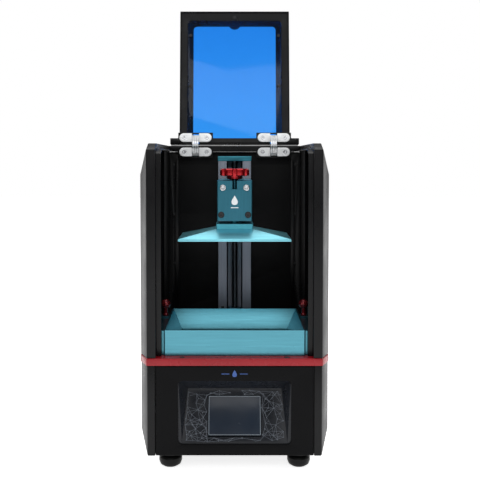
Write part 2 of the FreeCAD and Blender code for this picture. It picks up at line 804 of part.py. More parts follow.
def make_crossmember():
    """The folded beam across the top of the back, with a tab under it for each hinge."""
    body = new_body("top_crossmember")
    wide = mirror_pair(f"{INNER} - seam")
    front = f"({HINGE_Y} + leaf_gap + leaf_thick)"
    back = f"({REAR} - upper_inset)"
    low = f"({BODY_TOP} - crossmember_drop)"
    add(body, "XY", low, BODY_TOP, block(wide, (front, back)))
    hollow = rectangle(f"{front} + steel", f"{back} - steel", low, f"{BODY_TOP} - steel")
    cut(body, "YZ", *wide, hollow)
    tab_low = f"({HINGE_Z} - tab_drop - 2)"
    for x in mirror_pair("hinge_spread"):
        add(body, "XZ", front, f"{front} + steel", rectangle(*centred("tab_width / 2", x), tab_low, low))
    for x in mirror_pair("hinge_spread"):
        middle = f"{HINGE_Z} - leaf_offset"
        hole = rectangle(*centred("cup_width / 2 + 0.2", x), *centred("leaf_height / 2 - 0.8", middle))
        notch = rectangle(*centred("mortise_width / 2", x), f"{middle} + leaf_height / 2 - 0.8", BODY_TOP)
        screws = [disc(f"{x} + {s}leaf_screw_spread", middle, "screw_shank_radius + run_clear") for s in ("-", "")]
        cut(body, "XZ", front, f"{front} + steel", hole, *screws)
        cut(body, "XZ", front, f"{front} + 7", notch)


def make_hinge_leaf(label):
    """Half of a concealed hinge, drawn with its face towards -Y and its top edge towards the hinge line."""
    body = new_body(label, kept=False)
    end = "(leaf_length - leaf_height) / 2"
    half = "leaf_height / 2"
    add(body, "XZ", "0", "leaf_thick", rectangle(*mirror_pair(end), *mirror_pair(half)))
    for x in mirror_pair(end):
        add(body, "XZ", "0", "leaf_thick", disc(x, "0", half))
    cup = rectangle(*mirror_pair("cup_width / 2"), *mirror_pair(f"{half} - 1"))
    add(body, "XZ", "leaf_thick", "cup_depth", cup)
    mortise = rectangle(*mirror_pair("mortise_width / 2"), *mirror_pair(half))
    cut(body, "XZ", "0", "cup_depth - 1.2", mortise)
    shanks = [disc(x, "0", "screw_shank_radius + run_clear") for x in mirror_pair("leaf_screw_spread")]
    cut(body, "XZ", "0", "leaf_thick", *shanks)
    for x in mirror_pair("leaf_screw_spread"):
        wide, narrow = disc(x, "0", "flush_head_radius + 0.05"), disc(x, "0", "screw_shank_radius + 0.05")
        loft(body, "Subtractive", "XZ", "0", wide, "flush_head_height", narrow)
    return body


def make_hinges():
    leaf = make_hinge_leaf("hinge_leaf")
    y = f"{HINGE_Y} + leaf_gap"
    z = f"{HINGE_Z} - leaf_offset"
    copies("hinge_body_cups", [(leaf, x, y, z, None, "0 deg") for x in mirror_pair("hinge_spread")])
    # The lid's halves are the same piece turned over, and stand above the hinge line while the lid is open.
    lid_cups = [lid_point(leaf, x, "-leaf_gap", "-leaf_offset", 180) for x in mirror_pair("hinge_spread")]
    copies("hinge_lid_cups", lid_cups)

    link = new_body("hinge_link", kept=False)
    half = "link_thick / 2"
    centre = "(-link_bow + 1)"
    corners = [
        (f"1 + {half}", "link_end"),
        (f"1 - {half}", "link_end"),
        (f"1 - {half}", "link_end * 0.45"),
        (f"{centre} - {half}", "1.6"),
        (f"{centre} - {half}", "-1.6"),
        (f"1 - {half}", "-link_end * 0.45"),
        (f"1 - {half}", "-link_end"),
        (f"1 + {half}", "-link_end"),
        (f"1 + {half}", "-link_end * 0.38"),
        (f"{centre} + {half}", "0"),
        (f"1 + {half}", "link_end * 0.38"),
    ]
    leaf_wide = "(link_width - 1.2) / 3"
    for index in (-1, 0, 1):
        left = f"{index} * ({leaf_wide} + 0.6) - {leaf_wide} / 2"
        add(link, "YZ", left, f"{left} + {leaf_wide}", outline(corners))
    add(link, "YZ", *mirror_pair("link_width / 2"), disc(centre, "0", "1.1"))
    copies("hinge_links", [(link, x, HINGE_Y, HINGE_Z, None, "0 deg") for x in mirror_pair("hinge_spread")])


def lid_point(master, x, along, up, flip=0):
    """Where a piece at a place on the shut lid, counted from the hinge line, stands with the lid open."""
    swing = "(open_angle * 1 deg)"
    y = f"{HINGE_Y} + ({along}) * cos({swing}) + ({up}) * sin({swing})"
    z = f"{HINGE_Z} - ({along}) * sin({swing}) + ({up}) * cos({swing})"
    return (master, x, y, z, (1, 0, 0), f"{flip} deg - {swing}")


def on_lid(body):
    return place(body, "0", HINGE_Y, HINGE_Z, (1, 0, 0), "-open_angle * 1 deg")




def make_lid():
    """The folded lid: top, bevel and door in one sheet, drawn shut with the hinge line at its origin."""
    body = new_body("lid_shell")
    front, top, low = f"(-{LID_REACH})", "(-lid_drop)", f"(-{LID_LENGTH})"
    rear = "(-leaf_gap - leaf_thick)"
    outer = side_view(front, rear, low, top, "0", "0")[:4]
    inner = side_view(front, rear, low, top, "lid_depth", "0")[:4]
    add(body, "YZ", *mirror_pair(LID_HALF), outline(outer + inner[::-1]))
    hollow_out = side_view(front, rear, f"{low} + steel", top, "steel", "steel")[:4]
    hollow_in = side_view(front, rear, f"{low} + steel", top, "lid_depth + 0.5", "steel")[:4]
    cut(body, "YZ", *mirror_pair(f"{LID_HALF} - steel"), outline(hollow_out + hollow_in[::-1]))
    bar = rectangle(*mirror_pair(LID_HALF), f"{top} - lid_bar", top)
    add(body, "XZ", f"{rear} - steel", rear, bar)
    for x in mirror_pair("hinge_spread"):
        tab = rectangle(*centred("tab_width / 2", x), f"{top} - tab_drop", f"{top} - lid_bar")
        add(body, "XZ", f"{rear} - steel", rear, tab)
    doc.recompute()
    for x in mirror_pair("hinge_spread"):
        middle = "-leaf_offset"
        hole = rectangle(*centred("cup_width / 2 + 0.2", x), *centred("leaf_height / 2 - 0.8", middle))
        screws = [disc(f"{x} + {s}leaf_screw_spread", middle, "screw_shank_radius + run_clear") for s in ("-", "")]
        notch = rectangle(*centred("mortise_width / 2", x), f"{middle} + leaf_height / 2 - 0.8", top)
        cut(body, "XZ", f"{rear} - steel", rear, hole, *screws)
        cut(body, "XZ", f"{rear} - 7", rear, notch)
    window_top = f"{top} - bevel_rise - window_head + 9"
    window = rounded(*mirror_pair("window_width / 2"), f"{low} + window_foot", window_top, "window_corner")
    cut(body, "XZ", front, f"{front} + steel", window)
    on_lid(body)

    sheet_body = new_body("lid_window")
    pane_x = mirror_pair("window_width / 2 + window_lap")
    pane = rounded(*pane_x, f"{low} + window_foot - window_lap", f"{window_top} + 4", "window_corner")
    add(sheet_body, "XZ", f"{front} + steel", f"{front} + steel + window_thick", pane)
    on_lid(sheet_body)

    stud = new_body("window_stud", kept=False)
    add(stud, "XZ", "0", "2.4", polygon("0", "0", "2.6", 6))
    add(stud, "XZ", "2.4", "3.6", disc("0", "0", "1.4"))
    seat = f"{front} + steel + window_thick"
    spots = []
    for x in mirror_pair("window_width / 2 + window_lap / 2"):
        for share in (0.08, 0.5, 0.92):
            z = f"{low} + window_foot + {share} * ({window_top} - {low} - window_foot)"
            spots.append(lid_point(stud, x, seat, z))
    copies("window_studs", spots)

    pull = new_body("lid_pull")
    add(pull, "XZ", f"{front} - 1.6", front, disc("0", f"{low} + window_foot - 6", "10.5"))
    cut(pull, "XZ", f"{front} - 1.6", front, rectangle("-12", "12", f"{low} - 2", f"{low} + window_foot - 11.5"))
    add(pull, "XZ", f"{front} + steel", f"{front} + steel + 2.2", disc("0", f"{low} + 9", "3"))
    on_lid(pull)


# ---------------------------------------------------------------- vat


def make_vat():
    body = new_body("vat_body")
    x, y = centred(VAT_X), centred(VAT_Y, VAT_MID)
    add(body, "XY", f"{DECK_TOP} + skirt_gap", VAT_TOP, block(x, y))
    for side in ("-", ""):
        reach = sorted((f"{side}({VAT_X} - 1)", f"{side}({VAT_X} + ear_reach)"), key=number)
        ear = block(reach, centred("ear_depth / 2", EAR_Y))
        add(body, "XY", f"{VAT_TOP} - ear_thick", VAT_TOP, ear)
    soften(body, "Fillet", "2.5", lambda edge, middle: upright(edge) and abs(middle.z - number(VAT_TOP) + 14.8) < 3)
    # A wing runs along each side in front of the ear, set back from the front face.
    for side in ("-", ""):
        reach = sorted((f"{side}({VAT_X} - 1)", f"{side}({VAT_X} + wing_reach)"), key=number)
        wing = block(reach, (f"{VAT_MID} - {VAT_Y} + 4.5", f"{EAR_Y} - ear_depth / 2 - 1"))
        add(body, "XY", f"{DECK_TOP} + skirt_gap", f"{VAT_TOP} - 1.5", wing)
    knee = f"({VAT_TOP} - hopper_fall)"
    mouth = block(centred(f"{VAT_X} - vat_rim"), centred(f"{VAT_Y} - vat_rim", VAT_MID))
    well = block(centred(HOPPER_X), centred(HOPPER_Y, VAT_MID))
    loft(body, "Subtractive", "XY", VAT_TOP, mouth, knee, well)
    cut(body, "XY", FILM_LOW, knee, well)
    rebate = block(centred(f"{VAT_X} - 2.5"), centred(f"{VAT_Y} - 2.5", VAT_MID))
    cut(body, "XY", f"{DECK_TOP} + skirt_gap", f"{FILM_LOW} + film_thick", rebate)
    stems = [disc(x, EAR_Y, "clamp_stem_radius + run_clear") for x in mirror_pair(CLAMP_X)]
    cut(body, "XY", f"{VAT_TOP} - ear_thick", VAT_TOP, *stems)

    film = new_body("vat_film")
    sheet_edge = block(centred(f"{VAT_X} - 5"), centred(f"{VAT_Y} - 5", VAT_MID))
    add(film, "XY", FILM_LOW, f"{FILM_LOW} + film_thick", sheet_edge)

    frame = new_body("film_frame")
    edge = block(centred(f"{VAT_X} - 2.9"), centred(f"{VAT_Y} - 2.9", VAT_MID))
    add(frame, "XY", DECK_TOP, FILM_LOW, edge)
    cut(frame, "XY", DECK_TOP, FILM_LOW, block(centred(HOPPER_X), centred(HOPPER_Y, VAT_MID)))

    post = new_body("clamp_post", kept=False)
    add(post, "XY", "0", "vat_height - ear_thick - 2.4", block(centred("2.8"), centred("ear_depth / 2 - 0.5")))
    cut(post, "XY", "4", "vat_height - ear_thick - 2.4", disc("0", "0", "clamp_stem_radius + run_clear"))
    posts = [(post, x, EAR_Y, DECK_TOP, None, "0 deg") for x in mirror_pair(CLAMP_X)]
    copies("clamp_posts", posts)

    for label, x in zip(("left_thumbscrew", "right_thumbscrew"), mirror_pair(CLAMP_X)):
        make_thumbscrew(label, x)


def upright(edge):
    box = edge.BoundBox
    return box.ZLength > 5 and box.XLength < 1e-3 and box.YLength < 1e-3


def make_thumbscrew(label, x):
    body = new_body(label)
    stem, ball, lift = "clamp_stem_radius", "clamp_ball_radius", "clamp_ball_lift"
    turn(
        body,
        [
            ("0", "-vat_height + 8"),
            (stem, "-vat_height + 8"),
            (stem, "0.3"),
            (f"{ball} * 0.6", "0.3"),
            (f"{ball} * 0.6", "1.5"),
            (f"{ball} * 0.43", "3"),
            (f"{ball} * 0.43", f"{lift} - {ball} * 0.9"),
            (f"{ball} * 0.8", f"{lift} - {ball} * 0.6"),
            (ball, f"{lift} - {ball} * 0.2"),
            (ball, f"{lift} + {ball} * 0.2"),
            (f"{ball} * 0.8", f"{lift} + {ball} * 0.6"),
            (f"{ball} * 0.45", f"{lift} + {ball} * 0.9"),
            ("0", f"{lift} + {ball}"),
        ],
    )
    place(body, x, EAR_Y, VAT_TOP)


# ---------------------------------------------------------------- platform


def make_platform():
    plate = new_body("build_plate")
    wide = block(centred("plate_width / 2"), centred("plate_depth / 2"))
    neck = block(centred("neck_width / 2"), centred("neck_depth / 2"))
    add(plate, "XY", "0", "plate_edge", wide)
    loft(plate, "Additive", "XY", "plate_edge", wide, "plate_edge + plate_roof", neck)
    place(plate, "0", VAT_MID, PLATE_LOW)

    neck_body = new_body("platform_neck")
    add(neck_body, "XY", "0", "neck_height", neck)
    doc.recompute()
    soften(neck_body, "Fillet", "1.5", lambda edge, middle: upright(edge))
    turn(
        neck_body,
        [
            ("0", "neck_height"),
            ("4.5", "neck_height"),
            ("4.5", "neck_height + 5"),
            ("ball_radius * 0.9", f"{BALL_Z} - ball_radius * 0.45"),
            ("ball_radius", BALL_Z),
            ("ball_radius * 0.9", f"{BALL_Z} + ball_radius * 0.45"),
            ("ball_radius * 0.55", f"{BALL_Z} + ball_radius * 0.8"),
            ("0", f"{BALL_Z} + ball_radius"),
        ],
    )
    place(neck_body, "0", VAT_MID, NECK_LOW)




def make_bracket():
    front = BRACKET_FRONT
    beam_front = f"({front} + cover_thick)"
    arm_back = f"({COLUMN_FRONT} - 0.5)"
    half = "bracket_width / 2"
    low, beam, top = (f"({PLATE_LOW} + {size})" for size in ("arm_low", "beam_low", "beam_top"))

    arm = new_body("bracket_arm")
    add(arm, "XY", beam, top, block(centred(half), (beam_front, arm_back)))
    add(arm, "XY", low, beam, block(centred(half), (f"{arm_back} - 10", arm_back)))
    for x in mirror_pair(f"{half} - 1.75"):
        web = block(centred("1.75", x), (f"{VAT_MID} - bracket_front + cover_thick + hanger_depth + 1", arm_back))
        add(arm, "XY", f"{low} + 5", beam, web)
    slot = rectangle(*mirror_pair("slot_width / 2"), beam_front, VAT_MID)
    cut(arm, "XY", beam, top, slot)
    cut(arm, "XY", beam, top, disc("0", VAT_MID, "slot_width / 2"))

    hanger = new_body("hanger_block")
    hanger_low = f"({PLATE_LOW} + hanger_low)"
    hanger_top = f"({beam} - 0.3)"
    add(hanger, "XY", hanger_low, hanger_top, block(centred(half), (beam_front, f"{beam_front} + hanger_depth")))
    stud_top = f"{PLATE_LOW} + knob_low + knob_height - 2"
    add(hanger, "XY", hanger_top, stud_top, disc("0", VAT_MID, "stud_radius"))
    socket = "ball_radius + ball_gap"
    cut(hanger, "XY", hanger_low, f"{NECK_LOW} + {BALL_Z} + ball_radius + 0.6", disc("0", VAT_MID, socket))

    cover = new_body("bracket_cover")
    add(cover, "XZ", front, beam_front, rectangle(*centred(half), hanger_low, top))
    doc.recompute()
    soften(cover, "Fillet", "1.6", lambda edge, middle: upright(edge) and middle.y < number(front) + 0.1)
    raised = rectangle(*centred(f"{half} - 6.5"), f"{hanger_low} + 1", f"{beam} + 0.8")
    add(cover, "XZ", f"{front} - 0.7", front, raised)
    cut(cover, "XZ", front, beam_front, rectangle(*mirror_pair("slot_width / 2"), f"{beam} + 0.8", top))
    seats = [(x, f"{beam} + 2.6") for x in mirror_pair("14.2")]
    seats += [(x, f"{low} + 2") for x in mirror_pair("16.2")]
    heads = [disc(x, z, "cover_screw_radius + 0.3") for x, z in seats]
    cut(cover, "XZ", f"{front} - 0.7", f"{front} + 1.2", *heads)

    screw = cap_screw("bracket_screw", "2.4", "cover_screw_radius")
    copies("bracket_screws", [(screw, x, f"{front} + 1.2", z, (1, 0, 0), "90 deg") for x, z in seats])
    shanks = [disc(x, z, "screw_shank_radius + run_clear") for x, z in seats]
    cut(cover, "XZ", f"{front} + 1.2", beam_front, *shanks)


def make_knob():
    """The red lobed clamping knob with its cone, its bore clear of the stud."""
    body = new_body("clamp_knob")
    drop = "(knob_low - knob_tip_low)"
    turn(
        body,
        [
            ("0", "0"),
            ("knob_tip_radius", "0"),
            ("knob_hub_radius", f"{drop} * 0.3"),
            ("knob_hub_radius", drop),
            ("knob_radius - 1.2", drop),
            ("knob_radius", f"{drop} + 1.2"),
            ("knob_radius", f"{drop} + knob_height - 1.2"),
            ("knob_radius - 1.2", f"{drop} + knob_height"),
            ("0", f"{drop} + knob_height"),
        ],
    )
    cut(body, "XY", "0", f"{drop} + knob_height - 1.5", disc("0", "0", "stud_radius + run_clear"))
    scoop = cut(body, "XY", drop, f"{drop} + knob_height", disc("knob_radius + 1.8", "0", "4"))
    around(body, scoop, "Z", "8")
    place(body, "0", VAT_MID, f"{PLATE_LOW} + knob_tip_low")


# ---------------------------------------------------------------- lead-screw drive


def make_drive():
    column = new_body("z_column")
    half = "column_width / 2"
    foot = block(centred("foot_plate_width / 2"), (COLUMN_FRONT, COLUMN_BACK))
    add(column, "XY", DECK_TOP, f"{DECK_TOP} + foot_plate_thick", foot)
    add(column, "XY", DECK_TOP, COLUMN_TOP, block(centred(half), (COLUMN_FRONT, COLUMN_BACK)))
    inside = (f"{COLUMN_FRONT} + column_wall", f"{COLUMN_BACK} - column_wall")
    cut(column, "XY", f"{DECK_TOP} + foot_plate_thick", COLUMN_TOP, block(centred(f"{half} - column_wall"), inside))
    slot = block(centred("column_slot / 2"), (COLUMN_FRONT, inside[0]))
    cut(column, "XY", f"{DECK_TOP} + foot_plate_thick", COLUMN_TOP, slot)
    holes = [disc("0", SCREW_Y, "coupler_radius + 1")]
    for x in mirror_pair("foot_plate_width / 2 - 6"):
        for y in (f"{COLUMN_FRONT} + 6", f"{COLUMN_BACK} - 6"):
            holes.append(disc(x, y, "screw_shank_radius + run_clear"))
    cut(column, "XY", DECK_TOP, f"{DECK_TOP} + foot_plate_thick", *holes)

    cap = new_body("column_cap")
    cap_top = f"({COLUMN_TOP} + cap_height)"
    cap_y = (f"{COLUMN_FRONT} - 0.6", f"{COLUMN_BACK} + 0.6")
    add(cap, "XY", COLUMN_TOP, cap_top, block(centred(f"{half} + 0.4"), cap_y))
    cut(cap, "XY", COLUMN_TOP, f"{COLUMN_TOP} + 5", disc("0", SCREW_Y, "8.03"))

    ring = new_body("screw_bearing")
    add(ring, "XY", COLUMN_TOP, f"{COLUMN_TOP} + 5", disc("0", SCREW_Y, "8"))
    cut(ring, "XY", COLUMN_TOP, f"{COLUMN_TOP} + 5", disc("0", SCREW_Y, "screw_radius + run_clear"))

    rods = new_body("guide_rods")
    rod_low = f"{DECK_TOP} + foot_plate_thick"
    add(rods, "XY", rod_low, COLUMN_TOP, *[disc(x, SCREW_Y, "rod_radius") for x in mirror_pair("rod_spread")])

    motor = new_body("z_motor")
    motor_low = f"({DECK_LOW} - motor_length)"
    add(motor, "XY", motor_low, DECK_LOW, block(centred("motor_width / 2"), centred("motor_width / 2", SCREW_Y)))
    doc.recompute()
    soften(motor, "Chamfer", "4", lambda edge, middle: upright(edge))
    add(motor, "XY", DECK_LOW, f"{DECK_LOW} + 2", disc("0", SCREW_Y, "11"))
    cut(motor, "XY", f"{motor_low} + 3", f"{DECK_LOW} + 2", disc("0", SCREW_Y, "motor_shaft_radius + run_clear"))

    coupler = new_body("shaft_coupler")
    coupler_low = f"({DECK_TOP} + 1.5)"
    coupler_top = f"({coupler_low} + coupler_length)"
    shaft_top = f"({coupler_low} + coupler_length / 2)"
    add(coupler, "XY", coupler_low, coupler_top, disc("0", SCREW_Y, "coupler_radius"))
    cut(coupler, "XY", shaft_top, coupler_top, disc("0", SCREW_Y, "screw_radius + 0.02"))
    add(coupler, "XY", f"{motor_low} + 4", coupler_low, disc("0", SCREW_Y, "motor_shaft_radius"))

    screw = new_body("lead_screw")
    add(screw, "XY", shaft_top, f"{COLUMN_TOP} + 4.6", disc("0", SCREW_Y, "screw_radius"))

    switch = new_body("limit_switch")
    stand = block(("-20", "-12"), (f"{COLUMN_FRONT} - 12", f"{COLUMN_FRONT} - 2"))
    add(switch, "XY", DECK_TOP, f"{VAT_TOP} - 3", stand)
    lever = block(("-18", "-14"), (f"{COLUMN_FRONT} - 11.6", f"{COLUMN_FRONT} - 10.6"))
    add(switch, "XY", f"{VAT_TOP} - 3", f"{VAT_TOP} + 1.5", lever)


def make_carriage():
    low = f"({PLATE_LOW} + carriage_low)"
    top = f"({low} + carriage_height)"
    body = new_body("carriage_block")
    half = "column_width / 2 - column_wall - fit_clear"
    y = (f"{COLUMN_FRONT} + column_wall + fit_clear", f"{COLUMN_BACK} - column_wall - fit_clear")
    add(body, "XY", low, top, block(centred(half), y))
    tongue = block(centred("column_slot / 2 - fit_clear"), (f"{COLUMN_FRONT} - 0.5", y[0]))
    add(body, "XY", f"{low} + 4", top, tongue)
    bores = [disc(x, SCREW_Y, "bearing_radius + 0.01") for x in mirror_pair("rod_spread")]
    cut(body, "XY", low, top, disc("0", SCREW_Y, "5.12"), *bores)

    bearing = new_body("linear_bearing", kept=False)
    add(bearing, "XY", "0", "bearing_length", disc("0", "0", "bearing_radius"))
    cut(bearing, "XY", "0", "bearing_length", disc("0", "0", "rod_radius + run_clear"))
    spots = []
    for x in mirror_pair("rod_spread"):
        for z in (f"{low} + 0.5", f"{top} - bearing_length - 0.5"):
            spots.append((bearing, x, SCREW_Y, z, None, "0 deg"))
    copies("linear_bearings", spots)

    nut = new_body("lead_nut")
    add(nut, "XY", f"{low} - 3.5", low, disc("0", SCREW_Y, "8"))
    add(nut, "XY", low, f"{low} + 15", disc("0", SCREW_Y, "5.1"))
    cut(nut, "XY", f"{low} - 3.5", f"{low} + 15", disc("0", SCREW_Y, "screw_radius + run_clear"))


# ---------------------------------------------------------------- lamp, mask screen and electronics


def make_lamp():
    pan_top = f"({BASE} + steel)"
    sink_top = f"({pan_top} + heatsink_height)"
    sink = new_body("lamp_heatsink")
    foot = block(centred("lamp_width / 2"), centred("lamp_width / 2", VAT_MID))
    add(sink, "XY", f"{sink_top} - 4", sink_top, foot)
    fins = []
    for index in range(9):
        x = f"(lamp_width - 1.8) * ({index} / 8 - 0.5)"
        fins.append(block(centred("0.9", x), centred("lamp_width / 2", VAT_MID)))
    add(sink, "XY", pan_top, f"{sink_top} - 4", *fins)

    board = new_body("lamp_board")
    plate = block(centred("lamp_width / 2 - 3"), centred("lamp_width / 2 - 3", VAT_MID))
    add(board, "XY", sink_top, f"{sink_top} + board_thick", plate)

    lens = new_body("lamp_lens")
    lens_low = f"({sink_top} + board_thick)"
    add(lens, "XY", lens_low, f"{lens_low} + 5", disc("0", VAT_MID, "20"))
    add(lens, "XY", f"{lens_low} + 5", f"{lens_low} + 9", disc("0", VAT_MID, "15"))

    hood = new_body("light_hood")
    foot_half, head_x, head_y = "lamp_width / 2 + 1.8", f"{LIGHT_X} + 1.5", f"{LIGHT_Y} + 1.5"
    low, high = f"({sink_top} - 4)", f"({DECK_LOW} - seam)"

    def frustum(kind, inset):
        near = block(centred(f"{foot_half} - {inset}"), centred(f"{foot_half} - {inset}", VAT_MID))
        far = block(centred(f"{head_x} - {inset}"), centred(f"{head_y} - {inset}", VAT_MID))
        loft(hood, kind, "XY", low, near, high, far)
        doc.recompute()

    frustum("Additive", "0")
    frustum("Subtractive", "1.5")

    mask = new_body("mask_lcd")
    glass = block(centred(MASK_X), centred(MASK_Y, VAT_MID))
    add(mask, "XY", DECK_TOP, f"{DECK_TOP} + mask_thick", glass)




def make_electronics():
    floor = f"({BASE} + steel)"
    standoff = new_body("standoff", kept=False)
    add(standoff, "XY", "0", "10", polygon("0", "0", "2.6", 6))
    spots = []
    for x in (f"{BOARD_X[0]} + 4", f"{BOARD_X[1]} - 4"):
        for y in (f"{BOARD_Y[0]} + 4", f"{BOARD_Y[1]} - 4"):
            spots.append((standoff, x, y, floor, None, "0 deg"))
    copies("board_standoffs", spots)

    board = new_body("main_board")
    board_low = f"({floor} + 10)"
    board_top = f"({board_low} + board_thick)"
    add(board, "XY", board_low, board_top, block(BOARD_X, BOARD_Y))
    parts = [block(("42", "56"), ("20", "34")), block(("64", "72"), ("20", "32")), block(("40", "60"), ("66", "72"))]
    add(board, "XY", board_top, f"{board_top} + 3", *parts)
    sockets = [block(("66", "78"), ("62", "72")), block(("70", "80"), ("0", "8"))]
    add(board, "XY", board_top, f"{board_top} + 9", *sockets)

    port = new_body("usb_port")
    skin = f"({SIDE} - lower_inset)"
    ends = (f"{skin} - 15", skin)
    add(port, "YZ", *ends, rectangle(*centred("6.6", USB_Y), *centred("2.9", USB_Z)))
    throat = rectangle(*centred("6.2", USB_Y), *centred("2.5", USB_Z))
    cut(port, "YZ", f"{skin} - 13", skin, throat)
    tongue = rectangle(*centred("5.5", USB_Y), f"{USB_Z} + 0.2", f"{USB_Z} + 2.1")
    add(port, "YZ", f"{skin} - 13", f"{skin} - 3", tongue)

    casing_body = nodes["right_lower_casing"]
    slot = rectangle(*centred("6.7", USB_Y), *centred("3.0", USB_Z))
    cut(casing_body, "YZ", f"{skin} - steel - 0.5", skin, slot)




def make_power():
    inlet = new_body("dc_inlet")
    for radius, low, high in (("7.5", "0", "1.6"), ("5.5", "-12", "0")):
        add(inlet, "XZ", low, high, disc("0", "0", radius))
    cut(inlet, "XZ", "-9", "1.6", disc("0", "0", "3.1"))
    add(inlet, "XZ", "-9", "0", disc("0", "0", "1.05"))
    place(inlet, SOCKET_X, LOWER_BACK, INLET_Z)

    housing = new_body("switch_housing")
    add(housing, "XZ", "0", "1.4", rectangle("-7.8", "7.8", "-10.8", "10.8"))
    add(housing, "XZ", "-14", "0", rectangle("-6.8", "6.8", "-9.8", "9.8"))
    cut(housing, "XZ", "-9", "1.4", rectangle("-5.6", "5.6", "-8.8", "8.8"))
    cut(housing, "YZ", "-6.3", "6.3", disc("-2", "0", "1.25"))
    place(housing, SOCKET_X, LOWER_BACK, SWITCH_Z)

    rocker = new_body("power_rocker")
    wave = [("-5.6", "0"), ("-0.2", "-8.0"), ("2.2", "-8.1"), ("0.6", "0"), ("2.2", "8.1"), ("-0.2", "8.0")]
    add(rocker, "YZ", "-5.2", "5.2", outline(wave))
    add(rocker, "YZ", "-6.2", "6.2", disc("-2", "0", "1.2"))
    tilt = "8 deg"
    shift_y, shift_z = f"-2 + 2 * cos({tilt})", f"2 * sin({tilt})"
    place(rocker, SOCKET_X, f"{LOWER_BACK} + {shift_y}", f"{SWITCH_Z} + {shift_z}", (1, 0, 0), tilt)

    frame = new_body("exhaust_fan_frame")
    half, rim = "fan_width / 2", "(fan_width / 2 - 1.5)"
    add(frame, "XZ", "-fan_thick", "0", rectangle(*mirror_pair(half), *mirror_pair(half)))
    cut(frame, "XZ", "-fan_thick", "0", disc("0", "0", rim))
    add(frame, "XZ", "-fan_thick", "-fan_thick + 2", disc("0", "0", "9"))
    for arm in (rectangle("-1", "1", f"-{half} + 1", f"{half} - 1"), rectangle(f"-{half} + 1", f"{half} - 1", "-1", "1")):
        add(frame, "XZ", "-fan_thick", "-fan_thick + 1.4", arm)
    add(frame, "XZ", "-fan_thick", "-1.5", disc("0", "0", "1.5"))
    fan_back = f"({LOWER_BACK} - steel - 0.2)"
    place(frame, FAN_X, fan_back, FAN_Z)

    rotor = new_body("exhaust_fan_rotor")
    add(rotor, "XZ", "-fan_thick + 2.5", "-0.6", disc("0", "0", "9.4"))
    cut(rotor, "XZ", "-fan_thick + 2.5", "-1.2", disc("0", "0", "1.5 + run_clear"))
    blade = add(
        rotor,
        "XY",
        "9",
        f"{rim} - 0.8",
        outline([("-3.6", "-fan_thick + 2.8"), ("-2.6", "-fan_thick + 2.8"), ("3.6", "-0.9"), ("2.6", "-0.9")]),
    )
    around(rotor, blade, "Y", "blade_count")
    place(rotor, FAN_X, fan_back, FAN_Z)


def make_body_screws():
    """Every fastener fixed in the body itself, as separate pieces in one node."""
    panel = cap_screw("panel_screw", "3.0")
    long_one = cap_screw("foot_screw", "foot_height - 8 + 1.6 + 4")
    deck = cap_screw("deck_screw", "foot_plate_thick + 6")
    flush = flush_screw("hinge_screw", "5")
    spots = []
    back = f"({REAR} - upper_inset)"
    for x, z in upper_panel_screws():
        spots.append((panel, x, back, z, (1, 0, 0), "-90 deg"))
    for x, z in lower_panel_screws():
        spots.append((panel, x, LOWER_BACK, z, (1, 0, 0), "-90 deg"))
    for x in mirror_pair("foot_spread_x"):
        for y in mirror_pair("foot_spread_y"):
            spots.append((long_one, x, y, "8", (1, 0, 0), "180 deg"))
    for x in mirror_pair("foot_plate_width / 2 - 6"):
        for y in (f"{COLUMN_FRONT} + 6", f"{COLUMN_BACK} - 6"):
            spots.append((deck, x, y, f"{DECK_TOP} + foot_plate_thick", None, "0 deg"))
    for x in mirror_pair("hinge_spread"):
        for sign in ("-", ""):
            z = f"{HINGE_Z} - leaf_offset"
            spots.append((flush, f"{x} + {sign}leaf_screw_spread", f"{HINGE_Y} + leaf_gap", z, (1, 0, 0), "90 deg"))
    copies("body_screws", spots)
    lid_spots = []
    for x in mirror_pair("hinge_spread"):
        for sign in ("-", ""):
            across = f"{x} + {sign}leaf_screw_spread"
            lid_spots.append(lid_point(flush, across, "-leaf_gap", "-leaf_offset", -90))
    copies("hinge_lid_screws", lid_spots)


# ---------------------------------------------------------------- build, check and write


def main():
    make_upper_casings()
    make_lower_casings()
    make_base_pan()
    make_feet()
    make_deck()
    make_front_panel()
    make_screen_bezel()
    make_touch_display()
    make_rear_panels()
    make_crossmember()
    make_hinges()
    make_lid()
    make_vat()
    make_platform()
    make_bracket()
    make_knob()
    make_drive()
    make_carriage()
    make_lamp()
    make_electronics()
    make_power()
    make_body_screws()
    doc.recompute()

    for thing in doc.Objects:
        if {"Invalid", "Error"} & set(thing.State):
            raise RuntimeError(f"{thing.Label} failed to recompute")
    os.makedirs("parts", exist_ok=True)
    for label, thing in nodes.items():
        shape = thing.Shape
        if shape.isNull() or not shape.isValid() or not shape.Solids:
            raise RuntimeError(f"{label} has no sound solid")
        shape.exportStep(f"parts/{label}.step")
    print(f"{len(nodes)} sub-parts written")


main()
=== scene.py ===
"""A desktop resin printer with its lid open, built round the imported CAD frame.

Lengths are in metres. +X is to the right, +Y to the back and +Z up.
"""

import json
import math
import random

import bmesh
import bpy
from mathutils import Matrix, Vector
from mathutils.bvhtree import BVHTree


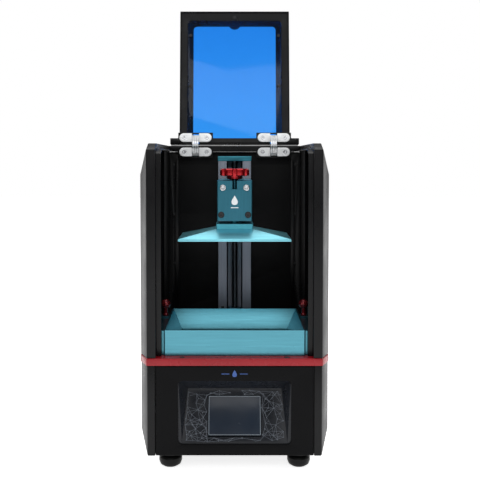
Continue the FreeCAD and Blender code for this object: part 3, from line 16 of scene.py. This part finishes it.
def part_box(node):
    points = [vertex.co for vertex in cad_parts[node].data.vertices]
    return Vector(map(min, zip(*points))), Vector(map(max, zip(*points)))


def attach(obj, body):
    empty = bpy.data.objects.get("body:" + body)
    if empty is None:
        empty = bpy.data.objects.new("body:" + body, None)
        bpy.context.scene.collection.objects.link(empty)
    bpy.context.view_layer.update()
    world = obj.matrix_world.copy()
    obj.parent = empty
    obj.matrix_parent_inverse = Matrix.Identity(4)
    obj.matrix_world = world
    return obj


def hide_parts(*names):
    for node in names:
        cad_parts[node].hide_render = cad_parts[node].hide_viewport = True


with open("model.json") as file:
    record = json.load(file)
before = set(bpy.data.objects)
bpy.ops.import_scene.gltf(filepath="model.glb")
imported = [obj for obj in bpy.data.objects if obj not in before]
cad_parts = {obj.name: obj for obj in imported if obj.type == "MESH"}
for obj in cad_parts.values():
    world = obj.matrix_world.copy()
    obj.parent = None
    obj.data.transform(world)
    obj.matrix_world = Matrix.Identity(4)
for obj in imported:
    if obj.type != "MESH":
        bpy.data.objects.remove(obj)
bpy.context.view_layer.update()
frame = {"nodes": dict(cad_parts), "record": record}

MM = 0.001
AMBIENT = 0.28  # how bright the white surroundings are as a light, where 1 is how bright they look
FLOOR_REACH = 6.0
FLOOR_GLOW = 0.8
EDGE_SEGMENTS = 3
SHARP_ANGLE = 28.0  # edges bent by less than this, in degrees, aren't rounded
SMOOTH_ANGLE = 40.0  # faces bent by less than this, in degrees, are shaded as one
NODES = frame["nodes"]
BODY_OF = {node: body for body, members in frame["record"]["behaviour"]["bodies"].items() for node in members}


# ---------------------------------------------------------------- camera, light and floor


def make_camera():
    data = bpy.data.cameras.new("camera")
    data.sensor_width = 36.0
    data.lens = 55.97
    data.shift_x = 0.0112
    data.shift_y = -0.1092
    data.clip_start = 0.05
    data.clip_end = 20.0
    camera = bpy.data.objects.new("camera", data)
    camera.location = (0.0, -0.9459, 0.3614)
    camera.rotation_euler = (math.radians(87.8), 0.0, 0.0)
    bpy.context.scene.collection.objects.link(camera)
    bpy.context.scene.camera = camera


def area_light(name, place, target, size, power):
    data = bpy.data.lights.new(name, "AREA")
    data.shape = "RECTANGLE"
    data.size, data.size_y = size
    data.energy = power
    lamp = bpy.data.objects.new(name, data)
    lamp.location = place
    lamp.rotation_euler = (Vector(target) - Vector(place)).to_track_quat("-Z", "Y").to_euler()
    bpy.context.scene.collection.objects.link(lamp)


def make_light():
    """White surroundings, a large soft box overhead, a small one in front, and strips behind and beside."""
    world = bpy.data.worlds.new("studio")
    bpy.context.scene.world = world
    world.use_nodes = True
    nodes, links = world.node_tree.nodes, world.node_tree.links
    ray = nodes.new("ShaderNodeLightPath")
    seen = nodes.new("ShaderNodeMath")
    seen.operation = "MAXIMUM"
    links.new(ray.outputs["Is Camera Ray"], seen.inputs[0])
    links.new(ray.outputs["Is Transmission Ray"], seen.inputs[1])
    strength = nodes.new("ShaderNodeMapRange")
    strength.inputs["To Min"].default_value = AMBIENT
    strength.inputs["To Max"].default_value = 1.0
    links.new(seen.outputs["Value"], strength.inputs["Value"])
    links.new(strength.outputs["Result"], nodes["Background"].inputs["Strength"])
    nodes["Background"].inputs["Color"].default_value = (1.0, 1.0, 1.0, 1.0)
    middle = (0.0, 0.0, 0.25)
    area_light("overhead_box", (0.0, 0.1, 1.6), middle, (2.4, 2.2), 24.0)
    area_light("front_box", (0.0, -1.7, 1.2), middle, (1.4, 0.7), 7.0)
    for side, name in ((-1, "left"), (1, "right")):
        area_light(name + "_rear_strip", (side * 1.3, 1.1, 0.6), middle, (0.9, 1.2), 4.0)
        area_light(name + "_side_strip", (side * 1.5, -0.7, 0.6), middle, (0.4, 1.3), 3.0)
    bpy.context.scene.view_settings.view_transform = "Standard"


def make_floor():
    mesh = bpy.data.meshes.new("floor")
    corners = [(x * FLOOR_REACH, y * FLOOR_REACH, 0) for x, y in ((-1, -1), (1, -1), (1, 1), (-1, 1))]
    mesh.from_pydata(corners, [], [(0, 1, 2, 3)])
    floor = bpy.data.objects.new("floor", mesh)
    bpy.context.scene.collection.objects.link(floor)
    paper = (0.92, 0.92, 0.925)
    look = Look("floor_paper", paper, rough=0.9, emission_strength=FLOOR_GLOW, specular_ior_level=0.1)
    look.set("Emission Color", (1.0, 1.0, 1.0, 1.0))
    look.tint(look.noise(3.0), (0.90, 0.90, 0.905), (0.94, 0.94, 0.945))
    look.bump(look.noise(400.0), 0.00005)
    mesh.materials.append(look.material)


# ---------------------------------------------------------------- materials


class Look:
    """A principled material with a few procedural layers over it, all in the object's own coordinates."""

    def __init__(self, name, color, metallic=0.0, rough=0.5, **settings):
        self.material = bpy.data.materials.new(name)
        self.material.use_nodes = True
        self.tree = self.material.node_tree
        self.shader = self.tree.nodes["Principled BSDF"]
        self.set("Base Color", (*color, 1.0))
        self.set("Metallic", metallic)
        self.set("Roughness", rough)
        for key, value in settings.items():
            self.set(key.replace("_", " ").title().replace("Ior", "IOR"), value)
        self.height = None

    def set(self, socket, value):
        self.shader.inputs[socket].default_value = value

    def node(self, kind, **inputs):
        made = self.tree.nodes.new(kind)
        for key, value in inputs.items():
            socket = made.inputs[key]
            if isinstance(value, bpy.types.NodeSocket):
                self.tree.links.new(value, socket)
            else:
                socket.default_value = value
        return made

    def place(self, stretch=(1.0, 1.0, 1.0)):
        where = self.node("ShaderNodeTexCoord").outputs["Object"]
        return self.node("ShaderNodeMapping", Vector=where, Scale=stretch).outputs["Vector"]

    def noise(self, scale, detail=3.0, stretch=(1.0, 1.0, 1.0)):
        made = self.node("ShaderNodeTexNoise", Vector=self.place(stretch), Scale=scale, Detail=detail)
        return made.outputs["Fac"]

    def speckle(self, scale):
        """Scattered small spots, bright in the middle of each."""
        made = self.node("ShaderNodeTexVoronoi", Vector=self.place(), Scale=scale)
        return self.range(made.outputs["Distance"], 0.0, 0.25, 1.0, 0.0)

    def height_along(self, axis, low, high):
        """From 0 at one height along an axis to 1 at another."""
        parts = self.node("ShaderNodeSeparateXYZ", Vector=self.place())
        return self.range(parts.outputs[axis], low, high, 0.0, 1.0)

    def range(self, value, low, high, to_low, to_high):
        made = self.node("ShaderNodeMapRange", Value=value)
        made.inputs["From Min"].default_value = low
        made.inputs["From Max"].default_value = high
        made.inputs["To Min"].default_value = to_low
        made.inputs["To Max"].default_value = to_high
        return made.outputs["Result"]

    def tint(self, fac, dark, light, low=0.3, high=0.7):
        """Colours the surface between two shades."""
        mix = self.tree.nodes.new("ShaderNodeMix")
        mix.data_type = "RGBA"
        self.tree.links.new(self.range(fac, low, high, 0.0, 1.0), mix.inputs["Factor"])
        for key, value in (("A", dark), ("B", light)):
            for socket in mix.inputs:
                if socket.name == key and socket.type == "RGBA":
                    socket.default_value = (*value, 1.0)
        result = next(socket for socket in mix.outputs if socket.type == "RGBA")
        self.tree.links.new(result, self.shader.inputs["Base Color"])
        return self

    def gloss(self, fac, low, high):
        """Lets the roughness wander between two values."""
        self.tree.links.new(self.range(fac, 0.3, 0.7, low, high), self.shader.inputs["Roughness"])
        return self

    def bump(self, fac, depth, strength=1.0):
        made = self.node("ShaderNodeBump", Height=fac, Strength=strength)
        made.inputs["Distance"].default_value = depth
        if self.height is not None:
            self.tree.links.new(self.height, made.inputs["Normal"])
        self.height = made.outputs["Normal"]
        self.tree.links.new(self.height, self.shader.inputs["Normal"])
        return self


def shade(color, factor):
    return tuple(min(1.0, channel * factor) for channel in color)


def powder_coat(name, color, rough, orange_peel=0.00003, **settings):
    """Baked paint: a fine pebbled skin, a slight change of shade, a little dust."""
    look = Look(name, color, rough=rough, **settings)
    look.tint(look.noise(9.0, 2.0), shade(color, 0.86), shade(color, 1.14))
    look.gloss(look.noise(40.0), rough - 0.04, rough + 0.06)
    look.bump(look.noise(1500.0, 2.0), orange_peel)
    look.bump(look.noise(260.0, 1.0), orange_peel * 0.6)
    return look.material


def brushed(name, color, rough, along, metallic=1.0, depth=0.000003, **settings):
    """Metal with fine scratches along one axis: 0, 1 or 2."""
    stretch = [1.0, 1.0, 1.0]
    stretch[along] = 0.02
    look = Look(name, color, metallic=metallic, rough=rough, **settings)
    lines = look.noise(1600.0, 4.0, tuple(stretch))
    look.tint(look.noise(900.0, 3.0, tuple(stretch)), shade(color, 0.93), shade(color, 1.07))
    look.gloss(lines, rough - 0.03, rough + 0.05)
    look.bump(lines, depth)
    return look.material


def blasted(name, color, rough, metallic=1.0, grain=2600.0, depth=0.000012, **settings):
    """Bead-blasted, cast or anodised metal with an even fine grain."""
    look = Look(name, color, metallic=metallic, rough=rough, **settings)
    look.tint(look.noise(30.0, 4.0), shade(color, 0.9), shade(color, 1.1))
    look.gloss(look.noise(120.0), rough - 0.05, rough + 0.05)
    look.bump(look.noise(grain, 2.0), depth)
    return look.material


def moulded(name, color, rough, grain=1900.0, depth=0.00002, **settings):
    """Moulded plastic or rubber with a fine spark-eroded texture."""
    look = Look(name, color, rough=rough, **settings)
    look.tint(look.noise(16.0), shade(color, 0.85), shade(color, 1.15))
    look.gloss(look.noise(60.0), rough - 0.05, rough + 0.06)
    look.bump(look.noise(grain, 2.0), depth)
    return look.material


def tinted_sheet(name):
    """The window: clear acrylic dyed blue. Its colour is set a little darker towards its free edge."""
    low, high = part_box("lid_window")
    clear = {"transmission_weight": 1.0, "ior": 1.3, "specular_ior_level": 0.02}
    look = Look(name, (0.02, 0.24, 0.8), rough=0.05, **clear)
    look.tint(look.height_along("Z", low.z, high.z), (0.030, 0.31, 0.92), (0.012, 0.21, 0.78), 0.0, 1.0)
    look.gloss(look.noise(25.0), 0.04, 0.09)
    look.bump(look.noise(8.0, 1.0), 0.00004)
    return look.material


def clear_film(name):
    look = Look(name, (0.75, 0.85, 0.88), rough=0.12, transmission_weight=0.7, ior=1.35)
    look.tint(look.noise(14.0), (0.62, 0.78, 0.83), (0.80, 0.90, 0.93))
    look.gloss(look.noise(50.0), 0.08, 0.2)
    look.bump(look.noise(20.0, 1.0), 0.00008)
    return look.material


def circuit_board(name):
    """Green solder resist in two shades, as over copper tracks, with small raised spots."""
    look = Look(name, (0.01, 0.12, 0.045), rough=0.3)
    look.tint(look.noise(220.0, 0.0, (1.0, 0.15, 1.0)), (0.008, 0.09, 0.035), (0.02, 0.19, 0.07), 0.45, 0.55)
    look.gloss(look.noise(90.0), 0.25, 0.4)
    look.bump(look.speckle(300.0), 0.00008)
    return look.material


TEAL = (0.085, 0.44, 0.55)
RED = (0.42, 0.008, 0.014)
DARK_RED = (0.24, 0.006, 0.012)
SOOT = (0.003, 0.003, 0.003)
LOOKS = {
    "black_coat": powder_coat("black_coat", (0.0035, 0.0035, 0.004), 0.30, specular_ior_level=0.17),
    "panel_coat": powder_coat("panel_coat", (0.0030, 0.0030, 0.0034), 0.30, specular_ior_level=0.06),
    "inner_coat": powder_coat("inner_coat", (0.004, 0.004, 0.0045), 0.5, specular_ior_level=0.15),
    "red_coat": powder_coat("red_coat", (0.27, 0.006, 0.012), 0.26, specular_ior_level=0.3),
    "teal_x": brushed("teal_brushed_across", TEAL, 0.34, 0, 0.72),
    "teal_z": brushed("teal_brushed_upright", (0.032, 0.145, 0.20), 0.36, 2, 0.85),
    "teal_cap": brushed("teal_brushed_cap", (0.035, 0.20, 0.26), 0.34, 0, 0.8),
    "teal_vat": brushed("teal_brushed_vat", (0.085, 0.27, 0.335), 0.30, 0, 0.95),
    "teal_plate": brushed("teal_brushed_plate", (0.22, 0.60, 0.70), 0.34, 0, 0.85),
    "teal_blast": blasted("teal_blasted", (0.07, 0.34, 0.43), 0.36, 0.8),
    "column": brushed("column_anodised", (0.17, 0.19, 0.23), 0.38, 2, 0.7),
    "blue_grey": blasted("blue_grey_anodised", (0.14, 0.25, 0.33), 0.42),
    "zinc": blasted("satin_zinc", (0.84, 0.85, 0.86), 0.36, 0.35, grain=900.0, depth=0.00002),
    "oiled_steel": brushed("oiled_steel", (0.10, 0.11, 0.125), 0.30, 2),
    "steel": brushed("turned_steel", (0.55, 0.56, 0.58), 0.26, 2),
    "black_metal": blasted("black_oxide", (0.02, 0.02, 0.022), 0.45, 0.5),
    "red_anodised": blasted("red_anodised", RED, 0.26, 0.8, coat_weight=0.3, coat_roughness=0.12),
    "dark_red": blasted("dark_red_anodised", DARK_RED, 0.20, 0.6, coat_weight=0.6, coat_roughness=0.08),
    "bronze": blasted("sintered_bronze", (0.62, 0.42, 0.18), 0.36),
    "bright_sheet": brushed("bright_sheet", (0.80, 0.81, 0.83), 0.16, 0),
    "black_plastic": moulded("black_plastic", (0.008, 0.008, 0.009), 0.42, specular_ior_level=0.3),
    "bezel": moulded("bezel_plastic", (0.0045, 0.0058, 0.009), 0.28, depth=0.000004, specular_ior_level=0.28),
    "gloss_black": moulded("gloss_black", (0.007, 0.008, 0.010), 0.16, depth=0.000004, coat_weight=0.3),
    "screen": moulded("screen_glass", (0.010, 0.016, 0.027), 0.22, depth=0.000002, specular_ior_level=0.3),
    "rubber": moulded("foot_rubber", SOOT, 0.40, grain=1100.0, depth=0.00004, specular_ior_level=0.15),
    "lamp": moulded("lamp_lens", (0.72, 0.76, 0.80), 0.18, depth=0.000004, transmission_weight=0.4),
    "white_print": moulded("white_print", (0.70, 0.73, 0.74), 0.45, depth=0.000006),
    "blue_print": moulded("blue_print", (0.02, 0.07, 0.26), 0.4, depth=0.000006),
    "line_print": moulded("line_print", (0.10, 0.115, 0.14), 0.5, depth=0.000006),
    "frame_print": moulded("frame_print", (0.16, 0.19, 0.22), 0.5, depth=0.000006),
    "window": tinted_sheet("tinted_acrylic"),
    "film": clear_film("release_film"),
    "board": circuit_board("solder_resist"),
}

# Which look each CAD node wears, and how far its sharp edges are rounded, in millimetres.
FINISH = {
    "base_pan": ("inner_coat", 0.4),
    "board_standoffs": ("bronze", 0.2),
    "body_screws": ("black_metal", 0.15),
    "bracket_arm": ("teal_cap", 0.5),
    "bracket_cover": ("teal_z", 0.5),
    "bracket_screws": ("steel", 0.15),
    "build_plate": ("teal_plate", 0.5),
    "carriage_block": ("blue_grey", 0.5),
    "clamp_knob": ("red_anodised", 0.8),
    "clamp_posts": ("teal_x", 0.4),
    "column_cap": ("teal_cap", 0.6),
    "dc_inlet": ("black_plastic", 0.3),
    "deck_magnets": ("black_metal", 0.3),
    "deck_plate": ("red_coat", 0.4),
    "exhaust_fan_frame": ("black_plastic", 0.4),
    "exhaust_fan_rotor": ("black_plastic", 0.2),
    "film_frame": ("zinc", 0.3),
    "front_panel": ("panel_coat", 0.8),
    "guide_rods": ("oiled_steel", 0.3),
    "hanger_block": ("teal_z", 0.5),
    "hinge_body_cups": ("zinc", 0.35),
    "hinge_lid_cups": ("zinc", 0.35),
    "hinge_lid_screws": ("steel", 0.12),
    "hinge_links": ("zinc", 0.3),
    "lamp_board": ("board", 0.2),
    "lamp_heatsink": ("blue_grey", 0.2),
    "lamp_lens": ("lamp", 0.8),
    "lead_nut": ("bronze", 0.3),
    "left_lower_casing": ("black_coat", 0.9),
    "right_lower_casing": ("black_coat", 0.9),
    "left_upper_casing": ("black_coat", 0.9),
    "right_upper_casing": ("black_coat", 0.9),
    "left_thumbscrew": ("dark_red", 0.3),
    "right_thumbscrew": ("dark_red", 0.3),
    "lid_pull": ("black_plastic", 0.4),
    "lid_shell": ("black_coat", 0.7),
    "lid_window": ("window", 0.4),
    "light_hood": ("bright_sheet", 0.3),
    "limit_switch": ("black_plastic", 0.3),
    "linear_bearings": ("steel", 0.3),
    "lower_rear_panel": ("black_coat", 0.3),
    "upper_rear_panel": ("inner_coat", 0.3),
    "main_board": ("board", 0.2),
    "mask_lcd": ("gloss_black", 0.3),
    "platform_neck": ("teal_blast", 0.5),
    "power_rocker": ("gloss_black", 0.4),
    "rubber_feet": ("rubber", 3.0),
    "screen_bezel": ("bezel", 0.8),
    "screw_bearing": ("steel", 0.3),
    "shaft_coupler": ("blue_grey", 0.5),
    "switch_housing": ("black_plastic", 0.4),
    "top_crossmember": ("black_coat", 0.4),
    "touch_display": ("screen", 0.3),
    "usb_port": ("zinc", 0.15),
    "vat_body": ("teal_vat", 0.7),
    "vat_film": ("film", 0.0),
    "window_studs": ("black_metal", 0.2),
    "z_column": ("column", 0.4),
    "z_motor": ("black_metal", 0.5),
}


# ---------------------------------------------------------------- mesh helpers


def piece(name, mesh, look, body):
    made = bpy.data.objects.new(name, mesh)
    bpy.context.scene.collection.objects.link(made)
    mesh.materials.clear()
    mesh.materials.append(LOOKS[look])
    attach(made, body)
    return made


def evaluated_mesh(made):
    graph = bpy.context.evaluated_depsgraph_get()
    graph.update()
    return bpy.data.meshes.new_from_object(made.evaluated_get(graph))


def round_edges(made, width):
    """Rounds the weighted edges, more gently where a full rounding would throw a corner off the surface."""
    surface = BVHTree.FromPolygons(
        [vertex.co for vertex in made.data.vertices], [face.vertices for face in made.data.polygons]
    )
    bevel = made.modifiers.new("rounding", "BEVEL")
    bevel.limit_method = "WEIGHT"
    bevel.segments = EDGE_SEGMENTS
    bevel.use_clamp_overlap = False
    for share, slide in ((1.0, True), (1.0, False), (0.5, True), (0.5, False), (0.25, False)):
        bevel.width = width * share
        bevel.loop_slide = slide
        mesh = evaluated_mesh(made)
        reach = max(surface.find_nearest(vertex.co)[3] for vertex in mesh.vertices)
        if reach < 0.6 * bevel.width:
            made.modifiers.clear()
            made.data = mesh
            return
        bpy.data.meshes.remove(mesh)
    made.modifiers.clear()


def edge_width(edge, width):
    """How far an edge can be rounded without running over a narrow face beside it."""
    if len(edge.link_faces) != 2 or edge.calc_face_angle(0.0) < math.radians(SHARP_ANGLE):
        return 0.0
    length = edge.calc_length()
    across = min(face.calc_area() / max(length, face.calc_perimeter() / 4) for face in edge.link_faces)
    return min(width, 0.3 * across)


def refine(node):
    """A copy of a CAD part with clean flat faces and rounded edges, which stands for it."""
    look, width = FINISH[node]
    mesh = NODES[node].data.copy()
    mesh.name = node + "_detailed"
    shell = bmesh.new()
    shell.from_mesh(mesh)
    bmesh.ops.remove_doubles(shell, verts=shell.verts, dist=1e-6)
    flat = math.radians(1.0)
    bmesh.ops.dissolve_limit(shell, angle_limit=flat, verts=shell.verts, edges=shell.edges)
    bmesh.ops.connect_verts_concave(shell, faces=shell.faces)
    layer = shell.edges.layers.float.new("bevel_weight_edge")
    for edge in shell.edges:
        edge[layer] = edge_width(edge, width * MM) / (width * MM) if width else 0.0
        edge.smooth = True
    for face in shell.faces:
        face.smooth = True
    shell.to_mesh(mesh)
    shell.free()
    made = piece(node + "_detailed", mesh, look, BODY_OF[node])
    if width:
        round_edges(made, width * MM)
    smooth_by_angle(made.data, SMOOTH_ANGLE)
    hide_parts(node)


def smooth_by_angle(mesh, limit):
    shell = bmesh.new()
    shell.from_mesh(mesh)
    for edge in shell.edges:
        edge.smooth = len(edge.link_faces) == 2 and edge.calc_face_angle(0.0) < math.radians(limit)
    for face in shell.faces:
        face.smooth = True
    shell.to_mesh(mesh)
    shell.free()


def grid_mesh(name, rows):
    """A skin over rows of points, each row one ring, with a flat end on the first and the last."""
    mesh = bpy.data.meshes.new(name)
    count = len(rows[0])
    verts = [point for row in rows for point in row]
    faces = []
    for r in range(len(rows) - 1):
        for c in range(count):
            a, b = r * count + c, r * count + (c + 1) % count
            faces.append((a, b, b + count, a + count))
    faces.append(tuple(reversed(range(count))))
    faces.append(tuple(range((len(rows) - 1) * count, len(rows) * count)))
    mesh.from_pydata(verts, [], faces)
    mesh.update()
    return mesh


def slab_mesh(name, outlines, thick, place):
    """Flat outlines (lists of points in a plane) given a thickness and put in place by a matrix."""
    mesh = bpy.data.meshes.new(name)
    verts, faces = [], []
    for outline in outlines:
        first, count = len(verts), len(outline)
        for depth in (0.0, thick):
            verts += [place @ Vector((x, y, depth)) for x, y in outline]
        faces.append(tuple(first + i for i in reversed(range(count))))
        faces.append(tuple(first + count + i for i in range(count)))
        for i in range(count):
            j = (i + 1) % count
            faces.append((first + i, first + j, first + count + j, first + count + i))
    mesh.from_pydata(verts, [], faces)
    mesh.update()
    return mesh


def droplet(x, y, tall, steps=40):
    """A plain drop, its point upwards."""
    points = []
    for index in range(steps):
        turn = 2 * math.pi * index / steps
        wide = 0.34 * tall * math.sin(turn) * math.sin(turn / 2) ** 1.4
        points.append((x - wide * 1.35, y + 0.5 * tall * math.cos(turn)))
    return points


def bar(x0, y0, x1, y1, width):
    """A straight strip between two points."""
    along = Vector((x1 - x0, y1 - y0)).normalized()
    side = Vector((-along.y, along.x)) * width / 2
    ends = ((x0, y0), (x1, y1))
    return [
        (ends[0][0] + side.x, ends[0][1] + side.y),
        (ends[0][0] - side.x, ends[0][1] - side.y),
        (ends[1][0] - side.x, ends[1][1] - side.y),
        (ends[1][0] + side.x, ends[1][1] + side.y),
    ]


def facing_front(y):
    """Puts a flat drawing (x, z) on a plane that faces -Y, its thickness towards the viewer."""
    return Matrix(((1, 0, 0, 0), (0, 0, -1, y), (0, 1, 0, 0), (0, 0, 0, 1)))


# ---------------------------------------------------------------- pieces with detail of their own


def make_lead_screw():
    """A four-start trapezoidal thread with plain ends."""
    low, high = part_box("lead_screw")
    centre, radius = (low + high) / 2, (high.x - low.x) / 2
    pitch, depth, around = 2.0 * MM, 1.0 * MM, 40
    plain = 6.0 * MM
    rows = []
    count = round((high.z - low.z) / (0.25 * MM))
    for row in range(count + 1):
        z = low.z + (high.z - low.z) * row / count
        fade = min(1.0, max(0.0, (z - low.z - plain) / MM), max(0.0, (high.z - plain - z) / MM))
        ring = []
        for step in range(around):
            turn = 2 * math.pi * step / around
            phase = (z / pitch - 4 * turn / (2 * math.pi)) % 1.0
            groove = min(1.0, max(0.0, 2.6 * (abs(phase - 0.5) * 2 - 0.3)))
            r = radius - depth * groove * fade
            ring.append((centre.x + r * math.cos(turn), centre.y + r * math.sin(turn), z))
        rows.append(ring)
    mesh = grid_mesh("lead_screw_thread", rows)
    made = piece("lead_screw_thread", mesh, "oiled_steel", "screw_shaft")
    smooth_by_angle(mesh, 50.0)
    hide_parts("lead_screw")


def make_cover_mark():
    """A plain printed drop on the platform bracket's cover, with a short rule under it."""
    low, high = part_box("bracket_cover")
    middle = low.z + 0.52 * (high.z - low.z)
    half, rule_z = 4.5 * MM, middle - 9 * MM
    outlines = [droplet(0.0, middle, 11.5 * MM), bar(-half, rule_z, half, rule_z, 0.9 * MM)]
    mesh = slab_mesh("cover_mark", outlines, 0.1 * MM, facing_front(low.y))
    piece("cover_mark", mesh, "white_print", "carriage")


def make_panel_mark():
    """A small blue drop between two rules at the middle of the front panel's top."""
    low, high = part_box("front_panel")
    z = high.z - 8.5 * MM
    outlines = [droplet(0.0, z, 8.0 * MM)]
    for side in (-1, 1):
        outlines.append(bar(side * 6 * MM, z - 0.5 * MM, side * 15 * MM, z - 0.5 * MM, 0.8 * MM))
    mesh = slab_mesh("panel_mark", outlines, 0.08 * MM, facing_front(low.y))
    piece("panel_mark", mesh, "blue_print", "printer_body")


RIM = 5.0 * MM  # how far the bezel's rim reaches below and above its mouth
DISPLAY_HALF = 30.5 * MM
DISPLAY_FOOT = 9.2 * MM
DISPLAY_HEIGHT = 44.2 * MM
FLOOR_BACK = 19.4 * MM
FLOOR_RISE = 58.6 * MM


def display_plane():
    """The bezel's leaning floor: a matrix whose x runs across it, y up it and z out of it, and its length."""
    low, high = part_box("screen_bezel")
    foot = Vector((0.0, low.y, low.z + RIM))
    slope = Vector((0.0, FLOOR_BACK, FLOOR_RISE))
    across = Vector((1.0, 0.0, 0.0))
    up = slope.normalized()
    lean = Matrix((across, up, across.cross(up))).transposed().to_4x4()
    return Matrix.Translation(foot) @ lean, slope.length


def over_display(x, y, margin=1.0 * MM):
    inside = DISPLAY_FOOT - 1.8 * MM - margin < y < DISPLAY_FOOT + DISPLAY_HEIGHT + margin
    return abs(x) < DISPLAY_HALF + margin and inside


def make_network():
    """The printed pattern on the bezel's floor: scattered points joined to their near neighbours."""
    plane, length = display_plane()
    seed = random.Random(20)
    points = []
    while len(points) < 92:
        y = seed.uniform(1.5 * MM, length - 2 * MM)
        half = 59.5 * MM - 5.5 * MM * y / length
        x = seed.uniform(-half, half)
        if not over_display(x, y) and all(math.hypot(x - a, y - b) > 4.6 * MM for a, b in points):
            points.append((x, y))
    outlines = []
    for index, (x, y) in enumerate(points):
        near = sorted(points[index + 1 :], key=lambda point: math.hypot(point[0] - x, point[1] - y))[:3]
        for a, b in near:
            shares = [step / 8 for step in range(9)]
            crosses = any(over_display(x + (a - x) * share, y + (b - y) * share) for share in shares)
            if not crosses and math.hypot(a - x, b - y) < 19 * MM:
                outlines.append(bar(x, y, a, b, 0.26 * MM))
        radius = seed.choice((0.4, 0.5, 0.75)) * MM
        turns = [2 * math.pi * k / 10 for k in range(10)]
        outlines.append([(x + radius * math.cos(t), y + radius * math.sin(t)) for t in turns])
    mesh = slab_mesh("bezel_network", outlines, 0.08 * MM, plane @ Matrix.Translation((0, 0, 0.02 * MM)))
    piece("bezel_network", mesh, "line_print", "printer_body")


def make_display_border():
    """A fine light line printed round the edge of the display's glass."""
    plane = display_plane()[0]
    margin, wide = 0.7 * MM, 0.6 * MM
    low, high = DISPLAY_FOOT + margin, DISPLAY_FOOT + DISPLAY_HEIGHT - margin
    half = DISPLAY_HALF - margin
    outlines = [
        bar(-half, low, half, low, wide),
        bar(-half, high, half, high, wide),
        bar(-half, low, -half, high, wide),
        bar(half, low, half, high, wide),
    ]
    mesh = slab_mesh("display_border", outlines, 0.06 * MM, plane @ Matrix.Translation((0, 0, -0.16 * MM)))
    piece("display_border", mesh, "frame_print", "printer_body")


def recolour(name, look, wanted):
    """Gives one more look to the faces of a detailed part whose middle passes a test."""
    mesh = bpy.data.objects[name + "_detailed"].data
    mesh.materials.append(LOOKS[look])
    for face in mesh.polygons:
        if wanted(face.center):
            face.material_index = 1


def colour_screws():
    """Plated screws hold the hinges, with one mid-lid; the rest and the cover's lower pair are black."""
    low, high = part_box("hinge_body_cups")

    def by_a_hinge(middle):
        return low.z < middle.z < high.z and low.y - MM < middle.y < high.y

    recolour("body_screws", "steel", by_a_hinge)
    recolour("window_studs", "steel", lambda middle: abs(middle.x) < 6 * MM)
    foot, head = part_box("bracket_screws")
    recolour("bracket_screws", "black_metal", lambda middle: middle.z < (foot.z + head.z) / 2)


# ---------------------------------------------------------------- build


make_camera()
make_light()
make_floor()
for node in sorted(FINISH):
    refine(node)
make_lead_screw()
make_cover_mark()
make_panel_mark()
make_network()
make_display_border()
colour_screws()
